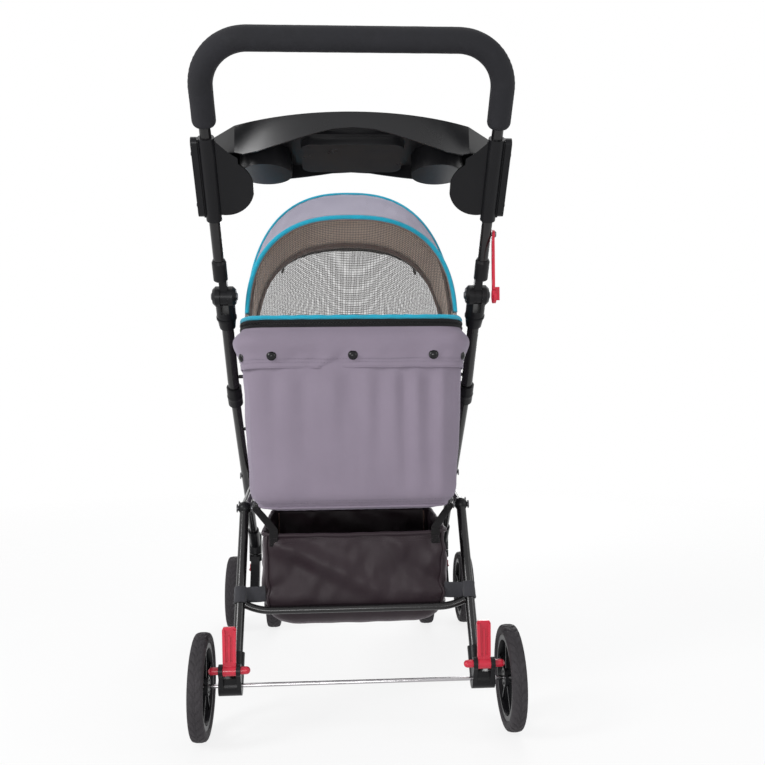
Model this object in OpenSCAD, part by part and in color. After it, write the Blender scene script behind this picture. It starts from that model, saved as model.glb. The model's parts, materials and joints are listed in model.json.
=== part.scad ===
// Four-wheeled folding pet stroller with a zipped fabric cabin, a parent tray and a basket.
// Millimetres. X is the pusher's right, Y is forward, Z is up, and it stands on z = 0.
// Inside the modules Y is counted from the rear axle; place() centres the finished parts.

/* [Wheels] */
// Diameter of each rear wheel
rear_wheel_d = 150; // [140:1:160]
// Width of each rear tyre
rear_tyre_w = 22; // [18:1:26]
// Distance from each rear leg to the centre plane of its wheel
rear_wheel_out = 48.5; // [48:0.5:60]
// Diameter of each front wheel
front_wheel_d = 145; // [130:1:150]
// Width of each front tyre
front_tyre_w = 27; // [22:1:30]
// Distance between the two wheels of one caster
twin_pitch = 81; // [78:1:90]
// Distance from the rear axle to the front axles
wheelbase = 562; // [550:1:590]
// How far each front axle trails behind its swivel stem
caster_trail = 28; // [22:1:34]
// Diameter of every axle rod
axle_d = 6; // [5:0.5:7]
// Number of spokes in a wheel
spoke_count = 5; // [4:1:7]

/* [Frame] */
// Distance between the left and right main tubes
frame_track = 395; // [392:1:410]
// How far each handle tube stands outside the line of its main tube
handle_splay = 3; // [2:0.5:4]
// Slope of the handle above the ground plane, in degrees
handle_angle = 51; // [48:1:54]
// Length from the fold hinge to the middle of the push bar
handle_len = 393; // [370:1:420]
// Bend radius of the push bar's corners
handle_bend = 65; // [50:1:80]
// How far the fold hinge is ahead of the rear axle
hinge_y = 111; // [105:1:116]
// Height of the fold hinge
hinge_z = 642; // [638:1:655]
// Length of the side tube from the hinge to the leg joint
side_len = 201; // [195:1:215]
// Diameter of the handle tube and of each front leg
leg_tube_d = 16; // [14:0.5:18]
// Diameter of each side tube
side_tube_d = 19; // [18:0.5:21]
// Distance between each rear leg and the line of its main tube
rear_leg_inset = 23.5; // [22:0.5:24.5]
// Diameter of each rear leg and seat rail
rear_leg_d = 15; // [13:0.5:16]
// How far the rear leg's hinge is ahead of the rear axle
leg_hinge_y = 148; // [140:1:156]
// Height of the rear leg's hinge
leg_hinge_z = 307; // [300:1:312]
// Where each seat rail meets its front leg, ahead of the rear axle
rail_front_y = 407; // [395:1:420]
// Height of the bent cross tube between the rear legs
cross_bar_z = 165; // [150:1:175]
// Diameter of the bent cross tube
cross_bar_d = 11; // [9:0.5:13]

/* [Cabin] */
// Height of the cabin's floor at its underside
cabin_floor_z = 307; // [305:1:315]
// Height of the rim at the back of the cabin
rim_z = 603; // [590:1:615]
// Downward slope of the rim towards the front, in degrees
rim_tilt = 6; // [4:0.5:8]
// Length of the cabin
cabin_len = 500; // [480:1:510]
// Distance from the rear axle to the cabin's rear panel
cabin_rear_y = 80; // [78:1:90]
// Gap between the cabin's rim and each side tube
cabin_side_gap = 14; // [12:0.5:18]
// Gap between the cabin's floor and each seat rail
floor_side_gap = 1.5; // [1:0.5:8]
// Thickness of the cabin's padded walls
wall_t = 6; // [4:0.5:8]
// Height of the canopy's rear arch above the rim
rear_arch_h = 173; // [155:1:185]
// Height of the canopy's tallest hoop above the rim
peak_hoop_h = 238; // [225:1:255]
// Height of the canopy's front hoop above the rim
front_hoop_h = 182; // [170:1:200]
// Thickness of the canopy cloth
canopy_t = 2.5; // [2:0.5:4]
// Diameter of the blue piping
piping_d = 7; // [5:0.5:8]

/* [Basket] */
// Gap between the basket and the middle of each rear leg
basket_side_gap = 36; // [32:1:48]
// Distance from the rear axle to the basket's back
basket_rear_y = 70; // [69:1:76]
// Length of the basket
basket_len = 256; // [240:1:265]
// Height of the basket's rear hem
basket_top_z = 277; // [270:1:284]

/* [Tray] */
// Length of the parent tray from back to front
tray_len = 156; // [145:1:165]
// Inner diameter of each cup holder
cup_d = 70; // [64:1:74]
// Depth of each cup holder
cup_depth = 46; // [40:1:60]
// Distance between the two cup holders
cup_pitch = 246; // [236:1:252]
// Thickness of the tray's moulded walls
tray_wall = 2.5; // [2:0.5:3.5]

/* [Hidden] */
$fn = 48;

// Clearances
run_fit = 0.05;
seat_gap = 0.1;
slide_gap = 0.3;
cloth_gap = 0.4;
side_play = 0.3;

// Wheels and axles
axle_r = axle_d / 2;
rear_axle_z = rear_wheel_d / 2;
front_axle_z = front_wheel_d / 2;
tyre_depth = 15;
rim_depth = 7;
hub_r = 13;
front_hub_r = 12;
spoke_w = 9;
spoke_t = 7;
rear_hub_len = 20;
front_hub_len = 25;
tread_depth = 1.6;

// Frame points, seen from the side
up_dir = [0, -cos(handle_angle), sin(handle_angle)];
hinge_p = [0, hinge_y, hinge_z];
sleeve_p = hinge_p - side_len * up_dir;
stem_y = wheelbase + caster_trail;
socket_p = [0, stem_y, front_wheel_d + 18];
leg_dir = (socket_p - sleeve_p) / norm(socket_p - sleeve_p);
leg_slope = acos(leg_dir.y);
rail_t = (rail_front_y - sleeve_p.y) / (socket_p.y - sleeve_p.y);
rail_front_p = sleeve_p + rail_t * (socket_p - sleeve_p);
leg_hinge_p = [0, leg_hinge_y, leg_hinge_z];
rail_dir = (rail_front_p - leg_hinge_p) / norm(rail_front_p - leg_hinge_p);
rear_axle_p = [0, 0, rear_axle_z];
rear_leg_dir = (leg_hinge_p - rear_axle_p) / norm(leg_hinge_p - rear_axle_p);
rear_leg_slope = acos(rear_leg_dir.y);
frame_x = frame_track / 2;
leg_x = frame_x - rear_leg_inset;
rear_wheel_x = leg_x + rear_wheel_out;
function rear_leg_y(z) = (z - rear_axle_z) * rear_leg_dir.y / rear_leg_dir.z;

// The whole stroller is centred along Y between the push bar and the front wheels
grip_d = 33;
back_y = hinge_y - handle_len * cos(handle_angle) - grip_d / 2;
front_y = wheelbase + front_wheel_d / 2;
mid_y = (front_y + back_y) / 2;

// Fold hinge
pin_r = 4;
tongue_w = 12;
tongue_r = 14;
bulb_r = 16;
bulb_w = 36;
bulb_chamfer = 4.5;
plug_r = 11;
plug_start = 32;
plug_len = 30;
plug_floor = 4;
slot_depth = 24.5;
fork_len = 30;
skirt_r = side_tube_d / 2 + 1.7;
skirt_len = 20;
fork_floor = 2.5;
collar_len = 27;
collar_r = 15;
collar_tip_r = 12.6;

// Rear leg hinge and seat rail
rail_start = 20;
fork_plate_t = 3;
fork_plate_r = 10;
fork_reach = 34;
bolt_r = 3;

// Tray
tray_tilt = 9;
tray_p = [0, -10, 856.5];
tray_lap = 2.5;
tray_tip = 55;
tray_floor_z = -14;
box_half_w = 71;
box_step = 9;
box_depth = 21;

// Cabin outline
plan_n = 12;
side_taper = 0.01;
cabin_half_w = frame_x - side_tube_d / 2 - cabin_side_gap;
floor_half_w = leg_x - rear_leg_d / 2 - floor_side_gap;
cabin_mid_y = cabin_rear_y + cabin_len / 2;
cabin_h = rim_z - cabin_floor_z;
bottom_round = 35;
floor_t = 8;
rim_h = 11;
rim_t = 2.5;
plan_steps = 48;
arch_steps = 28;

// ---------------------------------------------------------------- shared shapes

module place() translate([0, -mid_y, 0]) children();

module along(p, d) translate(p) rotate([0, acos(d.z), atan2(d.y, d.x)]) children();

module rod(p, q, d) along(p, (q - p) / norm(q - p)) cylinder(h = norm(q - p), d = d);

module cross_rod(x0, x1, r) translate([x0, 0, 0]) rotate([0, 90, 0]) cylinder(h = x1 - x0, r = r);

module rounded_rect(w, h, r) {
    square([w - 2 * r, h], center = true);
    square([w, h - 2 * r], center = true);
    for (x = [-1, 1], y = [-1, 1])
        translate([x * (w / 2 - r), y * (h / 2 - r)]) circle(r = r);
}

module stadium(len, r) {
    circle(r = r);
    translate([0, -r]) square([len, 2 * r]);
    translate([len, 0]) circle(r = r);
}

function unit(v) = v / norm(v);
function powered(v, e) = sign(v) * pow(abs(v), e);

// A closed band between loops of equal length; the first and last loop are capped or joined
module loft(loops, capped = true) {
    n = len(loops[0]);
    m = len(loops);
    rows = capped ? m - 2 : m - 1;
    sides = [
        for (j = [0:rows], i = [0:n - 1])
            let (a = j * n + i, b = j * n + (i + 1) % n, k = ((j + 1) % m) * n)
            each [[a, b, k + (i + 1) % n], [a, k + (i + 1) % n, k + i]]
    ];
    caps = capped ? [[for (i = [n - 1:-1:0]) i], [for (i = [0:n - 1]) (m - 1) * n + i]] : [];
    polyhedron(points = [for (loop = loops) each loop], faces = concat(sides, caps));
}

// A section swept along a path; ref stays square to the section's first axis
module sweep(path, section, ref, closed = false) {
    n = len(path);
    loops = [
        for (i = [0:n - 1])
            let (
                before = closed ? path[(i + n - 1) % n] : path[max(0, i - 1)],
                after = closed ? path[(i + 1) % n] : path[min(n - 1, i + 1)],
                t = unit(after - before),
                u = unit(cross(ref, t)),
                v = cross(t, u)
            )
            [for (s = section) path[i] + s.x * u + s.y * v]
    ];
    loft([for (i = [n - 1:-1:0]) loops[i]], capped = !closed);
}

function ring(r, n = 8) = [for (i = [0:n - 1]) r * [cos(360 * (i + 0.5) / n), sin(360 * (i + 0.5) / n)]];
function strip(w, t) = [[-w / 2, -t / 2], [w / 2, -t / 2], [w / 2, t / 2], [-w / 2, t / 2]];

// A cloth of even thickness between two grids of points, outer[j][i] and inner[j][i]
module cloth(outer, inner) {
    n = len(outer[0]);
    m = len(outer);
    loops = [for (j = [0:m - 1]) concat(outer[j], [for (i = [n - 1:-1:0]) inner[j][i]])];
    w = 2 * n;
    sides = [
        for (j = [0:m - 2], i = [0:w - 1])
            let (a = j * w + i, b = j * w + (i + 1) % w)
            each [[a, b, b + w], [a, b + w, a + w]]
    ];
    ends = [
        for (i = [0:n - 2])
            let (a = i, b = i + 1, c = w - 2 - i, d = w - 1 - i, e = (m - 1) * w)
            each [[a, c, b], [a, d, c], [e + a, e + b, e + c], [e + a, e + c, e + d]]
    ];
    polyhedron(points = [for (loop = loops) each loop], faces = concat(sides, ends));
}

// ---------------------------------------------------------------- cabin outlines

function rim_height(y) = rim_z - tan(rim_tilt) * (y - cabin_rear_y);
function plan(half_w, half_l, t, n = plan_n, taper = side_taper) =
    let (x = half_w * powered(cos(t), 2 / n), y = half_l * powered(sin(t), 2 / n))
    [x * (1 - taper * pow(y / half_l, 2)), y];
// A point of the cabin's skin: h above the floor, t around it, off outwards
function skin(h, t, off, up = 0) =
    let (
        half_w = floor_half_w + (cabin_half_w - floor_half_w) * h / cabin_h,
        p = plan(half_w + off, cabin_len / 2 + off, t),
        y = cabin_mid_y + p.y
    )
    [p.x, y, cabin_floor_z + h / cabin_h * (rim_height(y) - cabin_floor_z) + up];
function skin_loop(h, off, up = 0) =
    [for (i = [0:plan_steps - 1]) skin(h, 360 * i / plan_steps, off, up)];

arch_n = 2.5;
arch_foot = 3;
hoop_inset = 3.6;
// Half of the distance between a hoop's feet, which stand on the rim at base_y
function hoop_w(base_y) =
    let (u = abs(base_y - cabin_mid_y) / (cabin_len / 2))
    cabin_half_w * (1 - side_taper * u * u) * pow(1 - pow(u, plan_n), 1 / plan_n) - hoop_inset;
// A point of an arch that stands on the rim at base_y and leans to apex_y
function arch_point(base_y, apex_y, h, off, t) =
    let (
        x = -(hoop_w(base_y) + off) * powered(cos(t), 2 / arch_n),
        lift = (h + off) * powered(sin(t), 2 / arch_n)
    )
    [x, base_y + (apex_y - base_y) * lift / (h + off), rim_height(base_y) + arch_foot + lift];
rear_arch_y = [118, 150];
peak_hoop_y = [175, 270];
front_hoop_y = [300, 410];
function rear_arch(t, off = 0) = arch_point(rear_arch_y[0], rear_arch_y[1], rear_arch_h, off, t);
function peak_hoop(t, off = 0) = arch_point(peak_hoop_y[0], peak_hoop_y[1], peak_hoop_h, off, t);
function front_hoop(t, off = 0) = arch_point(front_hoop_y[0], front_hoop_y[1], front_hoop_h, off, t);
function arch_angles() = [for (i = [0:arch_steps]) 180 * i / arch_steps];

// ---------------------------------------------------------------- handle

module hinge_frame(side)
    translate([side * frame_x, hinge_y, hinge_z]) rotate([90 - handle_angle, 0, 0]) children();

handle_x = frame_x + handle_splay;
module handle_frame(side)
    translate([side * handle_x, hinge_y, hinge_z]) rotate([90 - handle_angle, 0, 0]) children();

// The bent handle: two side tubes, two corners and the push bar, in the plane of the handle
module handle_bar(d, from) translate([0, hinge_y, hinge_z]) rotate([90 - handle_angle, 0, 0]) {
    corner_z = handle_len - handle_bend;
    for (side = [-1, 1]) mirror([side < 0 ? 1 : 0, 0, 0]) {
        translate([handle_x, 0, from]) cylinder(h = corner_z - from, d = d);
        translate([handle_x - handle_bend, 0, corner_z]) rotate([90, 0, 0])
            rotate_extrude(angle = 90) translate([handle_bend, 0]) circle(d = d);
    }
    translate([0, 0, handle_len]) cross_rod(handle_bend - handle_x, handle_x - handle_bend, d / 2);
}

module handle_tube() color([0.17, 0.16, 0.17]) place() handle_bar(leg_tube_d, plug_start + plug_floor);

grip_start = 277;
module foam_grip() color([0.2, 0.2, 0.21]) place() difference() {
    handle_bar(grip_d, grip_start);
    handle_bar(leg_tube_d + 2 * seat_gap, grip_start - 10);
}

module hinge_tongues() color([0.1, 0.1, 0.11]) place()
    for (side = [-1, 1]) hinge_frame(side) difference() {
    union() {
        cross_rod(-tongue_w / 2, tongue_w / 2, tongue_r);
        translate([-tongue_w / 2, -tongue_w / 2, 0]) cube([tongue_w, tongue_w, plug_start + 1]);
        translate([side * (handle_x - frame_x), 0, plug_start]) {
            cylinder(h = plug_len, r = plug_r);
            translate([0, 0, plug_len]) cylinder(h = 4, r1 = plug_r, r2 = plug_r - 1.8);
        }
    }
    cross_rod(-tongue_w, tongue_w, pin_r + run_fit);
    translate([side * (handle_x - frame_x), 0, plug_start + plug_floor - seat_gap])
        cylinder(h = plug_len + 10, d = leg_tube_d + 2 * seat_gap);
}

// ---------------------------------------------------------------- parent tray

module tray_frame() translate(tray_p) rotate([-tray_tilt, 0, 0]) children();

rear_reach = tray_len * 0.52;
tray_half_w = handle_x + tray_lap;
shoulder_x = tray_half_w - tray_tip;
module tray_outline(inset = 0) {
    bow = 316;
    intersection() {
        translate([0, bow - rear_reach]) circle(r = bow - inset, $fn = 96);
        translate([0, tray_len - rear_reach - bow]) circle(r = bow - inset, $fn = 96);
        polygon([
            [-tray_half_w + inset, 12], [-tray_half_w + inset, 48], [-shoulder_x, tray_len - inset],
            [shoulder_x, tray_len - inset], [tray_half_w - inset, 48], [tray_half_w - inset, 12],
            [shoulder_x - inset / 2, -rear_reach + 28 + inset / 2], [shoulder_x - inset / 2, -rear_reach],
            [-shoulder_x + inset / 2, -rear_reach], [-shoulder_x + inset / 2, -rear_reach + 28 + inset / 2]
        ]);
    }
}

module box_outline(inset = 0)
    translate([0, -6]) rounded_rect(2 * (box_half_w - inset), 96 - 2 * inset, max(16 - inset, 8));

// The skirt's lower edge arches up in the middle and runs out at the tubes
module skirt_profile()
    rotate([90, 0, 0]) translate([0, 0, -tray_len]) linear_extrude(2 * tray_len)
        polygon([
            [-tray_half_w, 1], [tray_half_w, 1], [tray_half_w, -14], [172, -34], [150, -44],
            [128, -44], [93, -38], [57, -30], [28, -24], [0, -22], [-28, -24], [-57, -30],
            [-93, -38], [-128, -44], [-150, -44], [-172, -34], [-tray_half_w, -14]
        ]);

module parent_tray() color([0.13, 0.13, 0.14]) place() difference() {
    tray_frame() difference() {
        union() {
            intersection() {
                translate([0, 0, -50]) linear_extrude(50) difference() {
                    tray_outline();
                    tray_outline(tray_wall);
                }
                skirt_profile();
            }
            translate([0, 0, tray_floor_z - tray_wall]) linear_extrude(tray_wall) tray_outline(tray_wall / 2);
            for (side = [-1, 1]) translate([side * cup_pitch / 2, cup_y, -cup_depth - tray_wall])
                cylinder(h = cup_depth + tray_wall, r = cup_d / 2 + tray_wall);
            translate([0, 0, tray_floor_z - box_depth]) linear_extrude(box_depth) box_outline();
            for (k = [1, 2]) translate([0, 0, tray_floor_z - (15 - 5 * k)]) linear_extrude(15 - 5 * k)
                box_outline(-box_step * k);
        }
        for (side = [-1, 1]) translate([side * cup_pitch / 2, cup_y, -cup_depth])
            cylinder(h = cup_depth + 1, r = cup_d / 2);
        translate([0, 0, tray_floor_z - box_depth + tray_wall]) linear_extrude(box_depth + 30)
            box_outline(tray_wall);
    }
    for (side = [-1, 1]) tube_clearance(side, clamp_r + slide_gap);
}
cup_y = 18;

module tube_clearance(side, r) handle_frame(side) cylinder(h = handle_len, r = r);

clamp_start = 134;
clamp_len = 126;
clamp_r = 11.4;
clamp_plate_x = 12;
clamp_plate_w = 9;
clamp_plate_end = 14;
web_t = 3;
web_w = 60;
web_start = 142;
web_len = 114;
web_round = 43;
// A channel round each tube, a rounded plate outside it and a web inside it under the tray
module tray_clamps() color([0.08, 0.08, 0.09]) place()
    for (side = [-1, 1]) mirror([side < 0 ? 1 : 0, 0, 0]) difference() {
    handle_frame(1) {
        translate([0, 0, clamp_start]) cylinder(h = clamp_len, r = clamp_r);
        translate([0, -5, clamp_start + 6]) cube([clamp_plate_x + 1, 10, clamp_len - 12]);
        translate([clamp_plate_x, 0, clamp_start + clamp_plate_end]) rotate([90, 0, 0]) rotate([0, 90, 0])
            linear_extrude(clamp_plate_w) rotate(90) stadium(clamp_len - 22, 8);
        translate([0, web_t / 2, 0]) rotate([90, 0, 0]) linear_extrude(web_t) intersection() {
            translate([-web_w, web_start]) square([web_w - 9, web_len]);
            union() {
                translate([-web_w * 0.3, web_start + web_round]) circle(r = web_round);
                translate([-web_w * 0.68, web_start + web_round]) square([web_w, web_len]);
            }
        }
    }
    tube_clearance(1, leg_tube_d / 2 + seat_gap);
    tray_room();
}

// The space the tray takes up, with a little clearance
module tray_room() tray_frame() {
    translate([0, 0, -slide_gap]) intersection() {
        translate([0, 0, -50]) linear_extrude(90) polygon([
            [-handle_x + clamp_r + 1, -120], [handle_x - clamp_r - 1, -120],
            [handle_x - clamp_r - 1, 120], [-handle_x + clamp_r + 1, 120]
        ]);
        skirt_profile();
    }
    for (side = [-1, 1]) translate([side * cup_pitch / 2, cup_y, -cup_depth - tray_wall - slide_gap])
        cylinder(h = cup_depth, r = cup_d / 2 + tray_wall + slide_gap);
}

module tray_screws() for (side = [-1, 1], z = [24, 102])
    handle_frame(side) translate([side * (clamp_plate_x + clamp_plate_w + seat_gap), 0, clamp_start + z])
        rotate([0, side * 90, 0])
        cylinder(h = 1.6, r1 = 3.5, r2 = 2.4);

// ---------------------------------------------------------------- fold catch

catch_r = 109;
catch_x = handle_x + leg_tube_d / 2;
catch_p = [catch_x, hinge_y - catch_r * cos(handle_angle), hinge_z + catch_r * sin(handle_angle)];
catch_t = 4;
catch_len = 92;
module fold_catch() color([0.78, 0.12, 0.2]) place() translate(catch_p + [0.8, 0, 0]) difference() {
    union() {
        rotate([0, 90, 0]) cylinder(h = catch_t, r = 6.5);
        rotate([0, 90, 0]) linear_extrude(catch_t) translate([0, -3.5]) square([catch_len, 7]);
        rotate([0, 90, 0]) linear_extrude(catch_t) difference() {
            translate([catch_len, -4]) circle(r = 12);
            translate([catch_len - 2, -8]) circle(r = 7);
            translate([catch_len - 22, -26]) square([20, 18]);
        }
        translate([0, -1.5, -catch_len - 7]) cube([11, 3, 20]);
    }
    translate([-1, 0, 0]) rotate([0, 90, 0]) cylinder(h = catch_t + 2, r = bolt_r + run_fit);
}

module catch_bolt() translate(catch_p) {
    translate([seat_gap, 0, 0]) rotate([0, 90, 0]) cylinder(h = catch_t + 1.4, r = bolt_r);
    translate([0.8 + catch_t + 0.3, 0, 0]) rotate([0, 90, 0]) cylinder(h = 2.2, r1 = 5.2, r2 = 4);
}

// Screws of the tray's clamps and the bolt that carries the catch
module handle_screws() color([0.6, 0.6, 0.62]) place() {
    tray_screws();
    catch_bolt();
}

// ---------------------------------------------------------------- main frame

module side_tubes() color([0.16, 0.15, 0.16]) place() for (side = [-1, 1])
    translate([side * frame_x, 0, 0])
        rod(hinge_p - (fork_len - fork_floor + 0.5) * up_dir, sleeve_p + 2 * up_dir, side_tube_d);

module hinge_forks() color([0.12, 0.12, 0.13]) place()
    for (side = [-1, 1]) hinge_frame(side) difference() {
    union() {
        cross_rod(-bulb_w / 2 + bulb_chamfer, bulb_w / 2 - bulb_chamfer, bulb_r);
        for (end = [-1, 1]) translate([end * (bulb_w / 2 - bulb_chamfer), 0, 0]) rotate([0, end * 90, 0])
            cylinder(h = bulb_chamfer, r1 = bulb_r, r2 = bulb_r - bulb_chamfer);
        translate([0, 0, -fork_len]) cylinder(h = fork_len, r = collar_r);
        translate([0, 0, -fork_len - skirt_len]) cylinder(h = skirt_len, r = skirt_r);
    }
    translate([-tongue_w / 2 - side_play, -40, -slot_depth]) cube([tongue_w + 2 * side_play, 80, 80]);
    cross_rod(-bulb_w, bulb_w, pin_r + run_fit);
    translate([0, 0, -fork_len - skirt_len - 1])
        cylinder(h = skirt_len + 1 + fork_floor, d = side_tube_d + 2 * seat_gap);
}

module fold_hinge_pins() for (side = [-1, 1]) hinge_frame(side) {
    cross_rod(-bulb_w / 2 - 0.5, bulb_w / 2 + 0.5, pin_r);
    for (end = [-1, 1]) translate([end * (bulb_w / 2 + 0.2), 0, 0]) rotate([0, end * 90, 0])
        cylinder(h = 2.2, r1 = 7, r2 = 5);
}

module lock_collar(side) color([0.1, 0.1, 0.11]) place()
    hinge_frame(side) translate([0, 0, -fork_len - slide_gap]) difference() {
    union() {
        translate([0, 0, -collar_len]) cylinder(h = collar_len - 8, r1 = collar_tip_r, r2 = collar_r);
        translate([0, 0, -8]) cylinder(h = 8, r = collar_r);
        translate([0, 0, -10]) cylinder(h = 3, r = collar_r + 1);
    }
    translate([0, 0, -collar_len - 1]) cylinder(h = collar_len + 2, r = skirt_r + slide_gap);
}
module lock_collar_left() lock_collar(-1);
module lock_collar_right() lock_collar(1);

sleeve_r = 12.5;
sleeve_half = 19;
module leg_sleeves() color([0.1, 0.1, 0.11]) place()
    for (side = [-1, 1]) translate([side * frame_x, 0, 0]) difference() {
    union() {
        rod(sleeve_p, sleeve_p + sleeve_half * up_dir, 2 * sleeve_r);
        rod(sleeve_p, sleeve_p + sleeve_half * leg_dir, 2 * sleeve_r);
        translate(sleeve_p) sphere(r = sleeve_r + 0.5);
    }
    rod(sleeve_p + 1.8 * up_dir, sleeve_p + 2 * sleeve_half * up_dir, side_tube_d + 2 * seat_gap);
    rod(sleeve_p + 1.8 * leg_dir, sleeve_p + 2 * sleeve_half * leg_dir, leg_tube_d + 2 * seat_gap);
}

leg_end_gap = 24;
module front_legs() color([0.16, 0.15, 0.16]) place() difference() {
    for (side = [-1, 1]) translate([side * frame_x, 0, 0])
        rod(sleeve_p + 2 * leg_dir, socket_p - leg_end_gap * leg_dir, leg_tube_d);
    translate(rail_front_p) cross_rod(-frame_track, frame_track, bolt_r + run_fit);
}

cross_t = 0.68;
cross_p = sleeve_p + cross_t * (socket_p - sleeve_p);
module front_cross_tube() color([0.16, 0.15, 0.16]) place() difference() {
    translate(cross_p) cross_rod(-frame_x, frame_x, 6);
    for (side = [-1, 1]) translate([side * frame_x, 0, 0])
        rod(sleeve_p, socket_p, leg_tube_d + 2 * slide_gap);
}

socket_h = 40;
stem_r = 5;
socket_foot_z = front_wheel_d + 2;
module caster_sockets() color([0.1, 0.1, 0.11]) place()
    for (side = [-1, 1]) translate([side * frame_x, 0, 0]) difference() {
    union() {
        translate([0, stem_y, socket_foot_z]) cylinder(h = socket_h, r = 13);
        translate([0, stem_y, socket_foot_z + socket_h]) cylinder(h = 4, r1 = 13, r2 = 9);
        rod(socket_p - 58 * leg_dir, socket_p - 4 * leg_dir, 22);
    }
    translate([0, stem_y, socket_foot_z - 20]) cylinder(h = 20 + socket_h - 5, r = stem_r + run_fit);
    rod(socket_p - 90 * leg_dir, socket_p - (leg_end_gap - 0.5) * leg_dir, leg_tube_d + 2 * seat_gap);
}

// ---------------------------------------------------------------- seat rails and rear legs

module seat_rails() color([0.16, 0.15, 0.16]) place() difference() {
    for (side = [-1, 1]) translate([side * leg_x, 0, 0])
        rod(leg_hinge_p + rail_start * rail_dir, rail_front_p + 10 * rail_dir, rear_leg_d);
    translate(rail_front_p) cross_rod(-frame_track, frame_track, bolt_r + run_fit);
    for (side = [-1, 1]) translate([side * leg_x, 0, 0]) rail_bolt_holes();
}
rail_bolt_r = 2.5;
module rail_bolt_holes() translate(leg_hinge_p + 30 * rail_dir) cross_rod(-20, 20, rail_bolt_r + run_fit);

module rail_bolts() for (side = [-1, 1]) translate(rail_front_p) {
    inner = leg_x - rear_leg_d / 2 + seat_gap;
    outer = frame_x + leg_tube_d / 2 + 1;
    translate([side > 0 ? 0 : -inner - outer, 0, 0]) cross_rod(inner, outer, bolt_r);
    translate([side > 0 ? outer : -outer - 1.5, 0, 0]) cross_rod(0, 1.5, 6);
    translate([side * (frame_x + leg_x) / 2, 0, 0]) difference() {
        gap = frame_x - leg_tube_d / 2 - leg_x - rear_leg_d / 2 - 2 * slide_gap;
        cross_rod(-gap / 2, gap / 2, 7);
        cross_rod(-gap, gap, bolt_r + seat_gap);
    }
}

module leg_hinge_forks() color([0.12, 0.12, 0.13]) place()
    for (side = [-1, 1]) translate([side * leg_x, 0, 0] + leg_hinge_p)
    rotate([90 - acos(rail_dir.z), 0, 0]) difference() {
        gap = rear_leg_d / 2 + side_play;
        union() {
            for (x = [-gap - fork_plate_t, gap]) translate([x, 0, 0]) rotate([90, 0, 90])
                linear_extrude(fork_plate_t) stadium(fork_reach, fork_plate_r);
            translate([-gap - 1, rail_start + 2, gap]) cube([2 * gap + 2, fork_reach - rail_start, 2.2]);
        }
        cross_rod(-20, 20, pin_r + run_fit);
        translate([0, 30, 0]) cross_rod(-20, 20, rail_bolt_r + run_fit);
    }

leg_pin_reach = rear_leg_d / 2 + side_play + fork_plate_t + 0.3;
leg_pin_head = 1.4;
module leg_hinge_pins() for (side = [-1, 1]) translate([side * leg_x, 0, 0] + leg_hinge_p) {
    cross_rod(-leg_pin_reach, leg_pin_reach, pin_r);
    heads = [-leg_pin_reach - leg_pin_head, leg_pin_reach];
    for (x = heads) translate([x, 0, 0]) cross_rod(0, leg_pin_head, 6.5);
    translate(30 * rail_dir) {
        cross_rod(-leg_pin_reach, leg_pin_reach, rail_bolt_r);
        for (x = heads) translate([x, 0, 0]) cross_rod(0, leg_pin_head, 4.5);
    }
}

// Riveted pins and bolts of the main frame
module frame_pins() color([0.7, 0.7, 0.72]) place() {
    fold_hinge_pins();
    leg_hinge_pins();
    rail_bolts();
}

bracket_x = [leg_x - 9, leg_x + 22];
leg_foot = 16;
module rear_legs() color([0.16, 0.15, 0.16]) place() difference() {
    for (side = [-1, 1]) translate([side * leg_x, 0, 0]) {
        rod(rear_axle_p + leg_foot * rear_leg_dir, leg_hinge_p, rear_leg_d);
        translate(leg_hinge_p) cross_rod(-rear_leg_d / 2, rear_leg_d / 2, rear_leg_d / 2);
    }
    translate(leg_hinge_p) cross_rod(-frame_track, frame_track, pin_r + run_fit);
}

cross_bar_y = rear_leg_y(cross_bar_z + 6);
cross_bar_rise = 8;
cross_bar_bend = 30;
module rear_cross_tube() color([0.16, 0.15, 0.16]) place() translate([0, cross_bar_y, cross_bar_z]) {
    end_x = leg_x - rear_leg_d / 2 - slide_gap;
    bend_x = end_x - cross_bar_bend;
    cross_rod(-bend_x, bend_x, cross_bar_d / 2);
    for (side = [-1, 1])
        rod([side * (bend_x - 6), 0, 0], [side * end_x, 0, cross_bar_rise], cross_bar_d - 0.8);
}

pedal_p = [0, -20, rear_axle_z + 28];
pedal_bar_r = 5.5;
pedal_x = [leg_x - 4, leg_x + 12];
module axle_brackets() color([0.09, 0.09, 0.1]) place()
    for (side = [-1, 1]) mirror([side < 0 ? 1 : 0, 0, 0]) difference() {
    union() {
        translate(rear_axle_p) cross_rod(bracket_x[0], bracket_x[1] + 2, 14);
        translate([leg_x, 0, 0])
            rod(rear_axle_p + 2 * rear_leg_dir, rear_axle_p + 46 * rear_leg_dir, rear_leg_d + 6);
        for (x = [bracket_x[0], bracket_x[1] - 6]) bracket_ear(x);
        translate([bracket_x[0], -13, rear_axle_z]) cube([bracket_x[1] - bracket_x[0], 13, 14]);
    }
    translate(rear_axle_p) cross_rod(bracket_x[0] - 15, bracket_x[1] + 20, axle_r + seat_gap);
    translate([leg_x, 0, 0]) rod(
        rear_axle_p + (leg_foot - 0.5) * rear_leg_dir, rear_axle_p + 80 * rear_leg_dir,
        rear_leg_d + 2 * seat_gap
    );
    translate(pedal_p) cross_rod(bracket_x[0] - 15, bracket_x[1] + 20, pedal_bar_r + run_fit);
}
module bracket_ear(x) translate([x, 0, 0]) rotate([90, 0, 90]) linear_extrude(6) {
    translate([pedal_p.y, pedal_p.z]) circle(r = 9);
    polygon([
        [pedal_p.y - 9, pedal_p.z], [-13, rear_axle_z - 4], [6, rear_axle_z + 4],
        [4, rear_axle_z + 20], [pedal_p.y + 3, pedal_p.z + 8.4]
    ]);
}

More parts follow.
